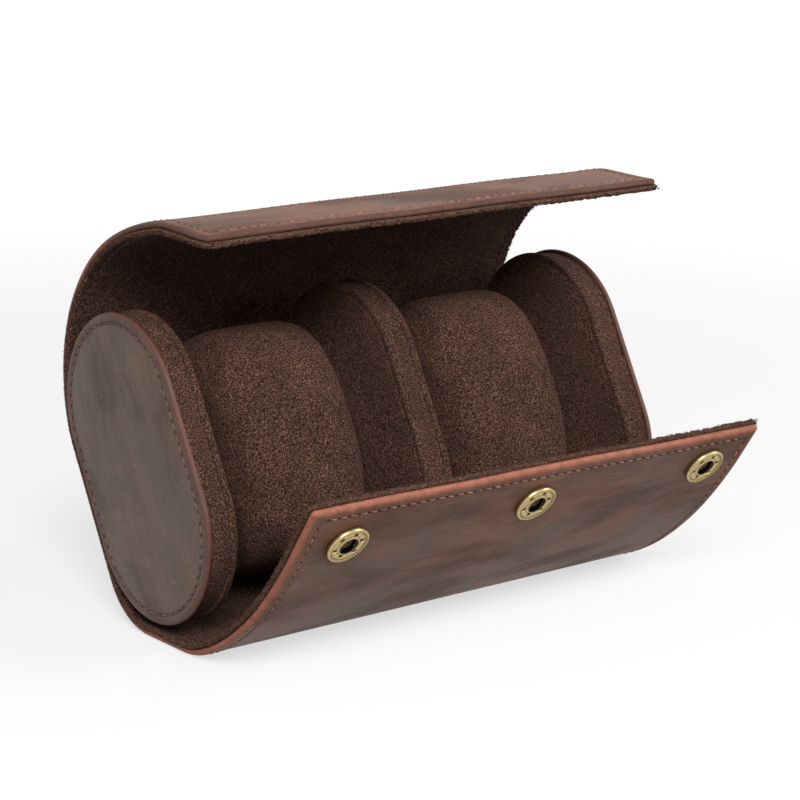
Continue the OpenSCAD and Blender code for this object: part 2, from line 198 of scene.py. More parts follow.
class Sketch:
    """Adds nodes to one tree and joins them."""

    def __init__(self, tree: Tree) -> None:
        """Keeps the tree that is drawn in."""
        self.tree = tree

    def feed(self, node: Node, feeds: dict) -> None:
        """Sets a node's inputs.

        Args:
            node: the node.
            feeds: for each input, by name or number, a value or another node's output.
        """
        for key, value in feeds.items():
            if isinstance(value, Socket):
                self.tree.links.new(value, node.inputs[key])
            else:
                node.inputs[key].default_value = value

    def node(self, kind: str, feeds: dict | None = None, **settings: object) -> Node:
        """One node, set up and fed.

        Args:
            kind: Blender's name of the node, without its prefix.
            feeds: what goes into its inputs.
            settings: the node's own properties.

        Returns:
            The node.
        """
        made = self.tree.nodes.new(f"ShaderNode{kind}")
        for key, value in settings.items():
            setattr(made, key, value)
        self.feed(made, feeds or {})
        return made

    def kept(self, name: str, part: str = "Vector") -> Socket:
        """A place or a number ("Fac") that is kept at the piece's points."""
        return self.node("Attribute", attribute_name=name).outputs[part]

    def sums(self, how: str, a: object, b: object = 0.0) -> Socket:
        """One arithmetic step on two numbers, each a value or an output."""
        return self.node("Math", {0: a, 1: b}, operation=how).outputs[0]

    def times(self, a: object, b: object) -> Socket:
        """The product of two numbers, each a value or an output."""
        return self.sums("MULTIPLY", a, b)

    def ramp(
        self, value: Socket, low: object, high: object, start: float = 0.0, end: float = 1.0
    ) -> Socket:
        """A smooth step from start, where the value is low, to end, where it is high."""
        feeds = {0: value, 1: low, 2: high, 3: start, 4: end}
        return self.node("MapRange", feeds, interpolation_type="SMOOTHSTEP").outputs[0]

    def mix(self, share: object, a: object, b: object, how: str = "MIX") -> Socket:
        """Two colours mixed in Blender's named way, with a share from 0 to 1 of the second."""
        feeds = {0: share, 6: a, 7: b}
        return self.node("Mix", feeds, data_type="RGBA", blend_type=how).outputs[2]

    def noise(
        self, place: Socket, scale: float, detail: float = 3.0, rough: float = 0.5,
        bend: float = 0.0, stretch: tuple[float, float, float] | None = None,
    ) -> Socket:
        """A noise value.

        Args:
            place: where it is read.
            scale: features for each unit of place.
            detail: number of finer layers.
            rough: strength of the finer layers.
            bend: how much the pattern is bent by itself.
            stretch: factors on the three axes of place, applied first.

        Returns:
            The noise, from 0 to 1.
        """
        if stretch:
            place = self.node("Mapping", {"Vector": place, "Scale": stretch}).outputs[0]
        feeds = {"Vector": place, "Scale": scale, "Detail": detail, "Roughness": rough}
        return self.node("TexNoise", {**feeds, "Distortion": bend}).outputs[0]

    def group(self, tree: Tree, **feeds: object) -> dict[str, Socket]:
        """Places a shared group, feeds its inputs by name and gives its outputs by name."""
        return dict(self.node("Group", feeds, node_tree=tree).outputs.items())

    def bump(self, height: Socket, depth: float) -> Socket:
        """A normal roughened by a height from 0 to 1, whose relief is that deep, in metres."""
        feeds = {"Height": height, "Distance": depth, "Strength": 1.0}
        return self.node("Bump", feeds).outputs[0]


def node_group(name: str, takes: str, draw: Callable[[Sketch, dict], dict[str, Socket]]) -> Tree:
    """A shader group that several finishes share.

    Args:
        name: the group's name.
        takes: the names of its inputs.
        draw: fills the group, given a sketch and its inputs, and returns its outputs by name.

    Returns:
        The group.
    """
    kinds = dict.fromkeys(("Place", "Needle"), "Vector")
    kinds |= dict.fromkeys(("Body", "Warm", "Dark", "Pale", "Colour"), "Color")
    tree = bpy.data.node_groups.new(name, "ShaderNodeTree")

    def add_sockets(labels: list[str], way: str) -> None:
        """Adds sockets of the kinds that their names stand for, or else numbers."""
        for label in labels:
            kind = f"NodeSocket{kinds.get(label, 'Float')}"
            tree.interface.new_socket(name=label, in_out=way, socket_type=kind)

    add_sockets(takes.split(), "INPUT")
    sketch = Sketch(tree)
    given = draw(sketch, dict(tree.nodes.new("NodeGroupInput").outputs.items()))
    add_sockets(list(given), "OUTPUT")
    sketch.feed(tree.nodes.new("NodeGroupOutput"), given)
    return tree


def draw_hide(sketch: Sketch, taken: dict[str, Socket]) -> dict[str, Socket]:
    """Waxed hide: warm clouds, dark smears and fine fibres along x, pale scuffs, specks, grain.

    Args:
        sketch: the group's sketch.
        taken: the place, and the body, warm, dark and pale colours.

    Returns:
        The colour, the wear and the grain.
    """
    place = taken["Place"]
    clouds = sketch.noise(place, 0.045, 4, 0.6, 0.6, stretch=(0.7, 1, 1))
    smears = sketch.noise(place, 0.06, 5, 0.6, 0.3, stretch=(0.4, 1, 1))
    scuffs = sketch.noise(place, 0.4, 5, 0.75, 1.2, stretch=(0.3, 1, 1))
    specks = sketch.noise(place, 0.9, 2, 0.6)
    fibres = sketch.noise(place, 1.1, 4, 0.65, stretch=(0.12, 1, 0.3))
    fine = sketch.noise(place, 2.4, 3, 0.7)
    smear, scuff = sketch.ramp(smears, 0.38, 0.7, 0, 0.7), sketch.ramp(scuffs, 0.54, 0.78, 0, 0.36)
    colour = sketch.mix(sketch.ramp(clouds, 0.34, 0.66), taken["Body"], taken["Warm"])
    colour = sketch.mix(smear, colour, taken["Dark"])
    colour = sketch.mix(scuff, colour, taken["Pale"])
    colour = sketch.mix(sketch.ramp(specks, 0.67, 0.76, 0, 0.7), colour, taken["Pale"])
    colour = sketch.mix(1.0, colour, sketch.ramp(fibres, 0.3, 0.7, 0.86, 1.14), "MULTIPLY")
    colour = sketch.mix(1.0, colour, sketch.ramp(fine, 0.35, 0.65, 0.72, 1.28), "MULTIPLY")
    pores = sketch.node("TexVoronoi", {"Vector": place, "Scale": 1.5}).outputs[0]
    grain = sketch.sums("ADD", sketch.times(pores, 0.6), fine)
    return {"Colour": colour, "Wear": sketch.sums("MAXIMUM", smear, scuff), "Grain": grain}


def draw_nap(sketch: Sketch, taken: dict[str, Socket]) -> dict[str, Socket]:
    """Suede nap: speckles of half a millimetre, over brushed patches of a few centimetres.

    Args:
        sketch: the group's sketch.
        taken: the place, and the body, dark and pale colours.

    Returns:
        The colour and the grain.
    """
    speckle = sketch.noise(taken["Place"], 2.5, 3, 0.8)
    brushed = sketch.noise(taken["Place"], 0.06, 3, 0.5, 0.6)
    colour = sketch.mix(sketch.ramp(speckle, 0.42, 0.52), taken["Dark"], taken["Body"])
    colour = sketch.mix(sketch.ramp(speckle, 0.53, 0.62), colour, taken["Pale"])
    shade = sketch.ramp(brushed, 0.3, 0.7, 0.82, 1.18)
    return {"Colour": sketch.mix(1.0, colour, shade, "MULTIPLY"), "Grain": speckle}


def draw_border(sketch: Sketch, taken: dict[str, Socket]) -> dict[str, Socket]:
    """Masks along a cut edge, whose distance wanders a little.

    Args:
        sketch: the group's sketch.
        taken: the place, the distance from the rim, the row's and the lip's reach.

    Returns:
        The border up to the stitches, its rubbed places and the bare lip.
    """
    uneven = sketch.noise(taken["Place"], 0.35, 3, 0.6)
    rim = sketch.sums("ADD", taken["Rim"], sketch.ramp(uneven, 0.3, 0.7, -0.2, 0.2))
    return {
        "Border": sketch.ramp(sketch.sums("SUBTRACT", taken["Row"], rim), 0.0, 0.7),
        "Rubbed": sketch.ramp(sketch.noise(taken["Place"], 0.22, 4, 0.7), 0.38, 0.62),
        "Lip": sketch.ramp(rim, taken["Reach"], sketch.times(taken["Reach"], 0.35)),
    }


def draw_needle(sketch: Sketch, taken: dict[str, Socket]) -> dict[str, Socket]:
    """Masks along a row of stitches, which put painted shade into the holes and the groove.

    Args:
        sketch: the group's sketch.
        taken: the count of pitches along the row with the distance from it, and the pitch.

    Returns:
        A round hole at each whole pitch, and the pressed groove, each a mask for painted shade.
    """
    count, off, _ = sketch.node("SeparateXYZ", {0: taken["Needle"]}).outputs
    turn = sketch.sums("FRACT", sketch.sums("ADD", count, 0.5))
    along = sketch.times(sketch.sums("SUBTRACT", turn, 0.5), taken["Pitch"])
    away = sketch.sums("ABSOLUTE", off)
    far = sketch.sums("ADD", sketch.times(along, along), sketch.times(away, away))
    hole = sketch.ramp(sketch.sums("SQRT", far), 0.56, 0.3)
    return {"Hole": hole, "Groove": sketch.ramp(away, 0.7, 0.2)}


def new_material(name: str) -> tuple[Material, Sketch, Node]:
    """A new node material, with a sketch of its tree and its Principled shader."""
    material = bpy.data.materials.new(name)
    material.use_nodes = True
    return material, Sketch(material.node_tree), material.node_tree.nodes["Principled BSDF"]


@dataclass(frozen=True)
class HideFinish:
    """Waxed pull-up leather with a burnished border, with painted shade in its stitch holes and
    groove.
    """

    name: str
    body: tuple = tint(112, 84, 69)
    warm: tuple = tint(134, 88, 68)
    dark: tuple = tint(69, 51, 43)
    pale: tuple = tint(160, 124, 102)
    border: tuple = tint(146, 95, 75)
    border_dark: tuple = tint(108, 71, 57)
    lip: tuple = tint(178, 112, 89)
    # painted shade: the colour of the inside of a stitch hole
    hole: tuple = tint(46, 23, 15)
    top_lip: tuple = tint(80, 54, 46)
    row: float = 3.5
    lip_reach: float = 1.6
    pitch: float = 3.2
    roughness: float = 0.5
    shine: float = 0.25
    relief: float = 0.00012

    def build(self, groups: dict[str, Tree]) -> Material:
        """Makes the material.

        Args:
            groups: the shared node groups.

        Returns:
            The material.
        """
        material, sketch, shader = new_material(self.name)
        place = sketch.kept("flat_place")
        tones = {"Body": self.body, "Warm": self.warm, "Dark": self.dark, "Pale": self.pale}
        hide = sketch.group(groups["hide"], Place=place, **tones)
        reach = {"Rim": sketch.kept("rim", "Fac"), "Row": self.row, "Reach": self.lip_reach}
        edge = sketch.group(groups["border"], Place=place, **reach)
        needle = sketch.group(groups["needle"], Needle=sketch.kept("needle"), Pitch=self.pitch)
        rubbed = sketch.mix(edge["Rubbed"], self.border_dark, self.border)
        rubbed = sketch.mix(0.35, rubbed, hide["Colour"])
        colour = sketch.mix(sketch.times(edge["Border"], 0.9), hide["Colour"], rubbed)
        station = sketch.node("SeparateXYZ", {0: place}).outputs[1]
        lip = sketch.mix(sketch.ramp(station, 60, 110), self.lip, self.top_lip)
        bare = sketch.ramp(edge["Rubbed"], 0, 1, 0.6, 0.95)
        colour = sketch.mix(sketch.times(edge["Lip"], bare), colour, lip)
        # painted shade along the stitch groove, in the dark tone
        colour = sketch.mix(sketch.times(needle["Groove"], 0.55), colour, self.dark)
        height = sketch.sums("SUBTRACT", hide["Grain"], sketch.times(needle["Hole"], 3))
        rough = sketch.ramp(hide["Wear"], 0, 0.6, self.roughness, self.roughness + 0.12)
        sketch.feed(
            shader,
            {
                # painted shade in the stitch holes
                "Base Color": sketch.mix(needle["Hole"], colour, self.hole),
                "Roughness": rough,
                "Specular IOR Level": self.shine,
                "Normal": sketch.bump(height, self.relief),
            },
        )
        return material


@dataclass(frozen=True)
class SuedeFinish:
    """Brushed suede, paler along a fuzzy cut edge, with painted shade in its stitch holes and
    groove.
    """

    name: str
    body: tuple = tint(80, 56, 47)
    dark: tuple = tint(17, 11, 9)
    pale: tuple = tint(154, 113, 95)
    cut: tuple = tint(134, 102, 84)
    sheen: tuple = tint(168, 120, 96)
    pitch: float = 3.2
    relief: float = 0.0005

    def build(self, groups: dict[str, Tree]) -> Material:
        """Makes the material.

        Args:
            groups: the shared node groups.

        Returns:
            The material.
        """
        material, sketch, shader = new_material(self.name)
        tones = {"Body": self.body, "Dark": self.dark, "Pale": self.pale}
        nap = sketch.group(groups["nap"], Place=sketch.kept("flat_place"), **tones)
        needle = sketch.group(groups["needle"], Needle=sketch.kept("needle"), Pitch=self.pitch)
        speckled = sketch.mix(sketch.ramp(nap["Grain"], 0.4, 0.6), self.body, self.cut)
        edge = sketch.ramp(sketch.kept("rim", "Fac"), 0.9, 0.1, 0.0, 0.85)
        # painted shade: the stitch holes and the groove darken to the dark tone
        sewn = sketch.sums("MAXIMUM", sketch.times(needle["Groove"], 0.6), needle["Hole"])
        colour = sketch.mix(sewn, sketch.mix(edge, nap["Colour"], speckled), self.dark)
        sketch.feed(
            shader,
            {
                "Base Color": colour,
                "Roughness": 0.95,
                "Specular IOR Level": 0.15,
                "Sheen Weight": 0.1,
                "Sheen Roughness": 0.5,
                "Sheen Tint": self.sheen,
                "Normal": sketch.bump(nap["Grain"], self.relief),
            },
        )
        return material


@dataclass(frozen=True)
class ThreadFinish:
    """Waxed sewing thread, whose tone wanders from stitch to stitch."""

    name: str
    body: tuple
    dark: tuple

    def build(self) -> Material:
        """Makes the material.

        Returns:
            The material.
        """
        material, sketch, shader = new_material(self.name)
        place = sketch.kept("flat_place")
        tone = sketch.ramp(sketch.noise(place, 0.3, 3, 0.7), 0.35, 0.65)
        bump = sketch.bump(sketch.noise(place, 5.0, 1), depth=0.00005)
        colour = sketch.mix(tone, self.dark, self.body)
        sketch.feed(shader, {"Base Color": colour, "Roughness": 0.62, "Normal": bump})
        return material


@dataclass(frozen=True)
class MetalFinish:
    """Plated metal, with tarnish in random patches, and with tarnish and painted shade where its
    kept value "recess" says.
    """

    name: str
    bright: tuple
    # one dark tone for tarnish and for painted shade
    tarnish: tuple
    roughness: float

    def build(self) -> Material:
        """Makes the material.

        Returns:
            The material.
        """
        material, sketch, shader = new_material(self.name)
        worn = sketch.noise(sketch.kept("flat_place"), 1.4, 4, 0.65)
        patches = sketch.ramp(worn, 0.48, 0.75, 0.0, 0.5)
        share = sketch.sums("MAXIMUM", sketch.kept("recess", "Fac"), patches)
        sketch.feed(
            shader,
            {
                "Base Color": sketch.mix(share, self.bright, self.tarnish),
                "Roughness": sketch.ramp(share, 0, 1, self.roughness, self.roughness + 0.35),
                "Metallic": 1.0,
                "Normal": sketch.bump(worn, depth=0.00002),
            },
        )
        return material


@dataclass(frozen=True)
class FillingFinish:
    """Foam, board or bare metal on the CAD solids themselves, its cells counted per metre."""

    name: str
    body: tuple
    dark: tuple
    cells: float
    roughness: float = 0.85
    metallic: float = 0.0

    def build(self) -> Material:
        """Makes the material on Object coordinates.

        Returns:
            The material.
        """
        material, sketch, shader = new_material(self.name)
        cells = sketch.noise(sketch.node("TexCoord").outputs["Object"], self.cells, 3, 0.6)
        sketch.feed(
            shader,
            {
                "Base Color": sketch.mix(sketch.ramp(cells, 0.35, 0.65), self.dark, self.body),
                "Roughness": self.roughness,
                "Metallic": self.metallic,
                "Normal": sketch.bump(cells, depth=0.0001),
            },
        )
        return material


def make_finishes() -> dict[str, Material]:
    """Makes each shared group and each material once.

    Returns:
        The materials, by what they are used for.
    """
    groups = {
        "hide": node_group("waxed_hide", "Place Body Warm Dark Pale", draw_hide),
        "nap": node_group("suede_nap", "Place Body Dark Pale", draw_nap),
        "border": node_group("cut_border", "Place Rim Row Reach", draw_border),
        "needle": node_group("needle_rows", "Needle Pitch", draw_needle),
    }
    cap_hide = HideFinish(
        "cap_hide", body=tint(95, 78, 70), warm=tint(112, 87, 71), dark=tint(60, 47, 42),
        pale=tint(146, 116, 94), border=tint(90, 53, 41), border_dark=tint(64, 40, 32),
        lip=tint(96, 55, 43), row=3.0, lip_reach=1.2, pitch=3.19, roughness=0.46, shine=0.42,
    )
    # painted shade: the spring wires in the sockets' bores are darkened so that the bores show
    # black
    wire = tint(84, 72, 48), tint(30, 25, 16)
    others = {
        "thread": ThreadFinish("tan_thread", tint(166, 117, 92), tint(108, 72, 56)),
        "cap_thread": ThreadFinish("worn_thread", tint(124, 92, 76), tint(76, 54, 45)),
        "suede_thread": ThreadFinish("brown_thread", tint(84, 60, 48), tint(46, 32, 26)),
        # the second tone is tarnish and painted shade, near black down the bore
        "brass": MetalFinish("old_brass", tint(190, 168, 118), tint(20, 15, 9), 0.3),
        "foam": FillingFinish("pale_foam", tint(222, 216, 202), tint(180, 170, 150), 900),
        "board": FillingFinish("grey_board", tint(150, 134, 112), tint(112, 98, 80), 500),
        # painted shade: the brass posts inside the sockets' bores are a darkened copy of the brass
        "antique_brass": FillingFinish(
            "inner_brass", tint(84, 66, 38), tint(40, 30, 18), 1400, 0.45, 1.0
        ),
        "spring_steel": FillingFinish("spring_wire", *wire, 1400, 0.3, 1.0),
    }
    return {
        "hide": HideFinish("wrap_hide").build(groups),
        "cap_hide": cap_hide.build(groups),
        "suede": SuedeFinish("brown_suede").build(groups),
        **{use: finish.build() for use, finish in others.items()},
    }


# ---- the wrap ----


class Face(Enum):
    """The two faces of the wrap that carry stitches."""

    OUTER = "outer"
    LINING = "lining"


@dataclass(frozen=True)
class WrapPath:
    """The open wrap's profile, as straights and arcs from the middle of the back both ways."""

    disc_radius: float = 28.5
    disc_straight: float = 31.5
    seat_gap: float = 0.2
    under_gap: float = 2.2
    leather_t: float = 1.8
    glue_gap: float = 0.05
    lining_t: float = 1.55
    lean: float = 28.0
    flat_rear: float = 2.2
    flat_length: float = 17.7
    width: float = 159.5
    top_end: float = 140.5
    front_end: float = 150.339
    snap_pitch: float = 63.8
    socket_station: float = -135.839
    stud_station: float = 132.1

    @property
    def thickness(self) -> float:
        """Leather, glue and lining together."""
        return self.leather_t + self.glue_gap + self.lining_t

    @property
    def back(self) -> float:
        """Distance from the discs' middle to the outer face of the back."""
        return self.disc_radius + self.seat_gap + self.thickness

    @property
    def floor_drop(self) -> float:
        """Height of the discs' middle over the floor."""
        half = self.disc_straight / 2 * math.cos(math.radians(self.lean))
        return half + self.disc_radius + self.under_gap + self.thickness

    def runs(self, upper: bool) -> list[tuple[float, float]]:
        """The profile above or below the middle of the back.

        Args:
            upper: whether it is the half with the top flap.

        Returns:
            Pairs of radius and degrees, or of 0 and a straight's length.
        """
        if upper:
            bends = [(0, self.disc_straight / 2), (self.back, 14), (50, 80), (88, 15), (22, 12)]
            return bends + [(0, self.top_end)]
        lean, turn = math.radians(self.lean), math.radians(90 - self.lean)
        start_y = self.floor_drop * math.sin(lean) - self.flat_rear * math.cos(lean)
        start_z = self.floor_drop * math.cos(lean) + self.flat_rear * math.sin(lean)
        corner = (self.back - start_y) / (1 - math.cos(turn))
        straight = start_z - corner * math.sin(turn)
        bends = [(0, straight), (corner, 90 - self.lean), (0, self.flat_length)]
        return bends + [(27, 22), (70, 14), (100, 12), (180, 7), (0, self.front_end)]

    def place(self, s: Array) -> tuple[Array, Array, Array]:
        """Where stations lie: a straight moves on along its heading, an arc turns it by s over r.

        Args:
            s: stations, positive towards the top flap's edge.

        Returns:
            y, z and the heading in radians at each station.
        """
        s = np.asarray(s, float)
        y, z, h = (np.zeros_like(s) for _ in range(3))
        for upper in (True, False):
            along = s if upper else -s
            at_y, at_z, heading, start = self.back, 0.0, 0.0, 0.0
            for radius, amount in self.runs(upper):
                here = (along >= start) if upper else (along > start)
                step = along[here] - start
                sine, cosine = math.sin(heading), math.cos(heading)
                if radius == 0:
                    y[here], z[here], h[here] = at_y - step * sine, at_z + step * cosine, heading
                    at_y, at_z, start = at_y - amount * sine, at_z + amount * cosine, start + amount
                    continue
                turned, after = heading + step / radius, heading + math.radians(amount)
                y[here] = at_y + radius * (np.cos(turned) - cosine)
                z[here] = at_z + radius * (np.sin(turned) - sine)
                h[here] = turned
                at_y += radius * (math.cos(after) - cosine)
                at_z += radius * (math.sin(after) - sine)
                heading, start = after, start + radius * math.radians(amount)
        below = s < 0
        z[below], h[below] = -z[below], -h[below]
        return y, z, h

    def wave(self, x: Array, s: Array) -> Array:
        """How far the open flaps stand off their even curve, none near the case and the snaps.

        The last few millimetres of the top flap also curl up a little.

        Args:
            x: place along the case.
            s: station.

        Returns:
            The rise of the outer face, in millimetres.
        """
        size = soft_step(s, 45, 90) * 0.16 + soft_step(-s, 72, 105) * 0.26
        for snap in (-1, 0, 1):
            for station, near, clear in ((self.socket_station, 7, 16), (self.stud_station, 5, 14)):
                away = np.hypot(x - snap * self.snap_pitch, s - station)
                size = size * soft_step(away, near, clear)
        return size * ripple(x, s, 62.0, 1) + 0.15 * soft_step(s, 133.5, self.top_end)

    def skew(self, x: Array, s: Array) -> Array:
        """How much shorter the front flap is towards its right end, growing past its crease."""
        return 2.6 * soft_step(-s, 110, 148) * np.clip(x / self.width + 0.5, 0, 1)

    def lean_back(self, x: Array, y: Array, z: Array) -> Array:
        """Points of the drawing plane turned by the lean and set over the floor.

        Args:
            x: place along the case.
            y: place towards the back.
            z: place up the case.

        Returns:
            Points in the frame's metres.
        """
        turn, forward = math.radians(self.lean), self.flat_rear + self.flat_length / 2
        x, y, z = np.broadcast_arrays(x, y, z)
        back = y * math.cos(turn) + z * math.sin(turn) + forward
        up = z * math.cos(turn) - y * math.sin(turn) + self.floor_drop
        return MM * np.stack([x, back, up], -1)

    def skin(self, x: Array, s: Array, depth: Array) -> Array:
        """Points of the wrap: the station's place moved in against its outward direction.

        Args:
            x: place along the case.
            s: station.
            depth: depth under the outer face.

        Returns:
            Points in the frame's metres.
        """
        x, s, depth = np.broadcast_arrays(*(np.asarray(v, float) for v in (x, s, depth)))
        y, z, h = self.place(s + self.skew(x, s))
        under = depth - self.wave(x, s)
        return self.lean_back(x, y - under * np.cos(h), z - under * np.sin(h))


@dataclass(frozen=True)
class Layer:
    """One layer of the wrap, with the rounding (reach, drop) of the edges of its two faces."""

    top: float
    thick: float
    reach: float
    outer_round: tuple[float, float]
    inner_round: tuple[float, float]
    outer_groove: float
    inner_groove: float
    fuzz: float


EDGE_STEPS = np.array(
    [0, 0.06, 0.24, 0.5, 0.85, 1.3, 1.8, 2.3, 2.75, 3.1, 3.3, 3.5, 3.7, 3.9, 4.3, 5.0, 6.0]
)


def edge_steps(reach: float) -> Array:
    """Distances in from the edge of a layer that goes past the leather by its reach."""
    return np.append(0.0, EDGE_STEPS[1:] + reach)


@dataclass(frozen=True)
class Stretch:
    """A length of the wrap that is one piece for each layer, and what it bends between."""

    name: str
    low: float
    high: float
    bodies: tuple[str, ...]
    crease: float = 0.0
    bend_reach: float = 6.0
    free_low: bool = False
    free_high: bool = False

    def span(self, reach: float) -> tuple[float, float]:
        """Its two ends, where free ends go further by the layer's reach."""
        return self.low - reach * self.free_low, self.high + reach * self.free_high


@dataclass
class Wrap:
    """The leather wrap with its suede lining and its rows of stitches."""

    path: WrapPath
    finishes: dict[str, Material]
    pitch: float = 3.2
    row: float = 3.5
    cross_row: float = 22.4
    seam_step: float = 0.12
    near: float = 0.25
    corner: float = 1.4
    groove: float = 0.42
    lining_reach: float = 0.6
    fibres_per_mm: float = 7.0
    stretches: tuple[Stretch, ...] = (
        Stretch("back", -50.0, 20.0, ("case",)),
        Stretch("top_root", 20.0, 55.0, ("case", "top_flap_root"), 37.6, 7.0),
        Stretch("top_middle", 55.0, 94.5, ("top_flap_root", "top_flap_middle"), 72.5, 8.0),
        Stretch(
            "top_edge", 94.5, 140.5, ("top_flap_middle", "top_flap_edge"), 114.0, free_high=True
        ),
        Stretch("front_root", -80.5, -50.0, ("case", "front_flap_root"), -66.139, 8.0),
        Stretch(
            "front_middle", -101.2, -80.5, ("front_flap_root", "front_flap_middle"), -94.939, 5.0
        ),
        Stretch(
            "front_edge", -150.339, -101.2, ("front_flap_middle", "front_flap_edge"), -107.539,
            free_low=True,
        ),
    )

    def columns(self, reach: float, dense: bool) -> Array:
        """Places along the case where a layer has points, close together near its side edges.

        Args:
            reach: how far the layer goes past the leather's edge.
            dense: whether points are also close enough for the stitch holes of an end row.

        Returns:
            Places from the left edge to the right one.
        """
        half, side = self.path.width / 2 + reach, edge_steps(reach)
        inner = np.arange(0, half - side[-1] - 0.2, self.pitch / 4 if dense else 2.0)
        return np.sort(np.concatenate([half - side, inner, -inner[1:], side - half]))

    def rows_of(self, stretch: Stretch, reach: float) -> Array:
        """Stations where a layer has points: four for each stitch, and close together near ends.

        Args:
            stretch: the length of wrap.
            reach: how far the layer goes past the leather's edge.

        Returns:
            Stations from the lower to the higher end.
        """
        low, high = stretch.span(reach)
        quarter, seam = self.pitch / 4, np.array([0, self.seam_step])
        even = np.arange(math.ceil(low / quarter), math.floor(high / quarter) + 1) * quarter
        wanted = [low + (edge_steps(reach) if stretch.free_low else seam)]
        wanted += [high - (edge_steps(reach) if stretch.free_high else seam)]
        if stretch.free_high:
            wanted += [self.path.top_end - self.cross_row + np.linspace(-0.7, 0.7, 5)]
        wanted = np.unique(np.round(np.concatenate(wanted), 4))
        every = np.unique(np.round(np.concatenate([even, wanted]), 4))
        gap = np.abs(every[:, None] - wanted).min(1)
        return every[((gap < 1e-6) | (gap > self.near)) & (every >= low) & (every <= high)]

    def layer_surface(self, stretch: Stretch, layer: Layer) -> Surface:
        """One layer of a stretch as a closed shell.

        Its two faces are grids of stations and columns that share their points along cut edges.
        The depth is the layer's own, less the rounding of the edge, plus the stitch groove.

        Args:
            stretch: the length of wrap.
            layer: the layer.

        Returns:
            The shell, with its flat places, distances from the edge and stitch holes.
        """
        path, dense = self.path, stretch.free_low or stretch.free_high
        rows, columns = self.rows_of(stretch, layer.reach), self.columns(layer.reach, dense)
        s, x = np.meshgrid(rows, columns, indexing="ij")
        half = path.width / 2 + layer.reach
        end = cross = np.full_like(s, 1e3)
        if stretch.free_high:
            end, cross = path.top_end + layer.reach - s, s - (path.top_end - self.cross_row)
        if stretch.free_low:
            end = s + path.front_end + layer.reach
        tuck = np.clip(self.corner - end, 0, self.corner)
        shrink = self.corner - np.sqrt(np.clip(self.corner**2 - tuck**2, 0, None))
        x = x * (1 - shrink * (np.abs(x) / half) ** 3 / half)
        side = (half - shrink) - np.abs(x)
        side = np.where(side < 1e-6, 0, side)
        rim = np.clip(np.minimum(side, end), 0, None)
        inset, on_rim = rim - layer.reach, rim <= 1e-9
        rng = np.random.default_rng(SEED + len(s))
        loose = layer.fuzz * (rim < 0.7) * rng.uniform(-1, 1, s.shape)
        push_x = np.where(side <= end, np.sign(x), 0) * loose
        push_s = np.where(end < side, 1.0 if stretch.free_high else -1.0, 0) * loose
        on_cross = np.abs(x) < path.width / 2 - self.row - 0.4
        groove = hump(inset, self.row, self.groove) + hump(cross, 0, self.groove) * on_cross
        swell = 0.12 * hump(inset, 2.1, 0.8) + 0.06 * hump(inset, 5.2, 1.0)
        needle = self.needle_rows(x, s, half - np.abs(x) - layer.reach, end - layer.reach, cross)
        at_hole = np.abs(needle[..., 0] - np.round(needle[..., 0])) < 0.08
        dip = groove + 1.6 * (at_hole & (np.abs(needle[..., 1]) < 0.09))
        outer = layer.top + quarter_round(rim, *layer.outer_round)
        outer += layer.outer_groove * dip - (swell if layer.outer_groove else 0)
        inner = layer.top + layer.thick - quarter_round(rim, *layer.inner_round)
        inner -= layer.inner_groove * dip
        jitter = 0.7 * layer.fuzz * rng.uniform(-1, 1, s.shape) * (rim < 1.4)
        depths = np.stack([outer, np.where(on_rim, outer, inner + jitter)])
        sewn = (layer.outer_groove, layer.inner_groove)
        values = {
            "flat_place": np.stack(np.broadcast_arrays(x, s, depths), -1).reshape(-1, 3),
            "rim": np.tile(rim if layer.fuzz else np.maximum(inset, 0), (2, 1)).ravel(),
            "needle": np.stack([needle + [0, 0 if g else FAR, 0] for g in sewn]).reshape(-1, 3),
        }
        points = path.skin(x + push_x, s + push_s, depths).reshape(-1, 3)
        used, fresh = np.unique(self.shell_quads(on_rim, stretch), return_inverse=True)
        kept = {key: value[used] for key, value in values.items()}
        return Surface(points[used], fresh.reshape(-1, 4), kept)

    def needle_rows(self, x: Array, s: Array, side: Array, end: Array, cross: Array) -> Array:
        """Where each point lies by its nearest row of stitches.

        Args:
            x: place along the case.
            s: station.
            side: distance in from the leather's side edge.
            end: distance in from its free end.
            cross: distance from the row across the top flap.

        Returns:
            For each point the count of pitches along the row, the distance from it, and 0.
        """
        off_side = np.where(end > self.row - 0.1, side - self.row, FAR)
        inner = side > self.row - 0.1
        off_end, off_cross = (np.where(inner, off, FAR) for off in (end - self.row, cross))
        offs = np.stack([off_side, off_end, off_cross])
        nearest = np.abs(offs).argmin(0)
        away = np.take_along_axis(offs, nearest[None], 0)[0]
        along = np.where(nearest == 0, s, x) / self.pitch
        return np.stack([along, away, 0 * away], -1)

    @staticmethod
    def shell_quads(on_rim: Array, stretch: Stretch) -> Array:
        """Joins the two faces' grids along the rim, and closes the ends that are not cut edges.

        Args:
            on_rim: which points of a face lie on a cut edge.
            stretch: the length of wrap, which says which ends are free.

        Returns:
            Quads that face outwards; on the rim they use the outer face's points.
        """
        rows, columns = on_rim.shape
        count = rows * columns
        number = np.arange(2 * count)
        number[count:] = np.where(on_rim.ravel(), np.arange(count), number[count:])
        quads = [grid_faces(rows, columns), grid_faces(rows, columns, count)[:, ::-1]]
        for free, row, way in ((stretch.free_low, 0, 1), (stretch.free_high, rows - 1, -1)):
            a = row * columns + np.arange(columns - 1)
            cap = np.stack([a, a + count, a + count + 1, a + 1], -1)[:, ::way]
            quads += [] if free else [cap]
        return number[np.concatenate(quads)]

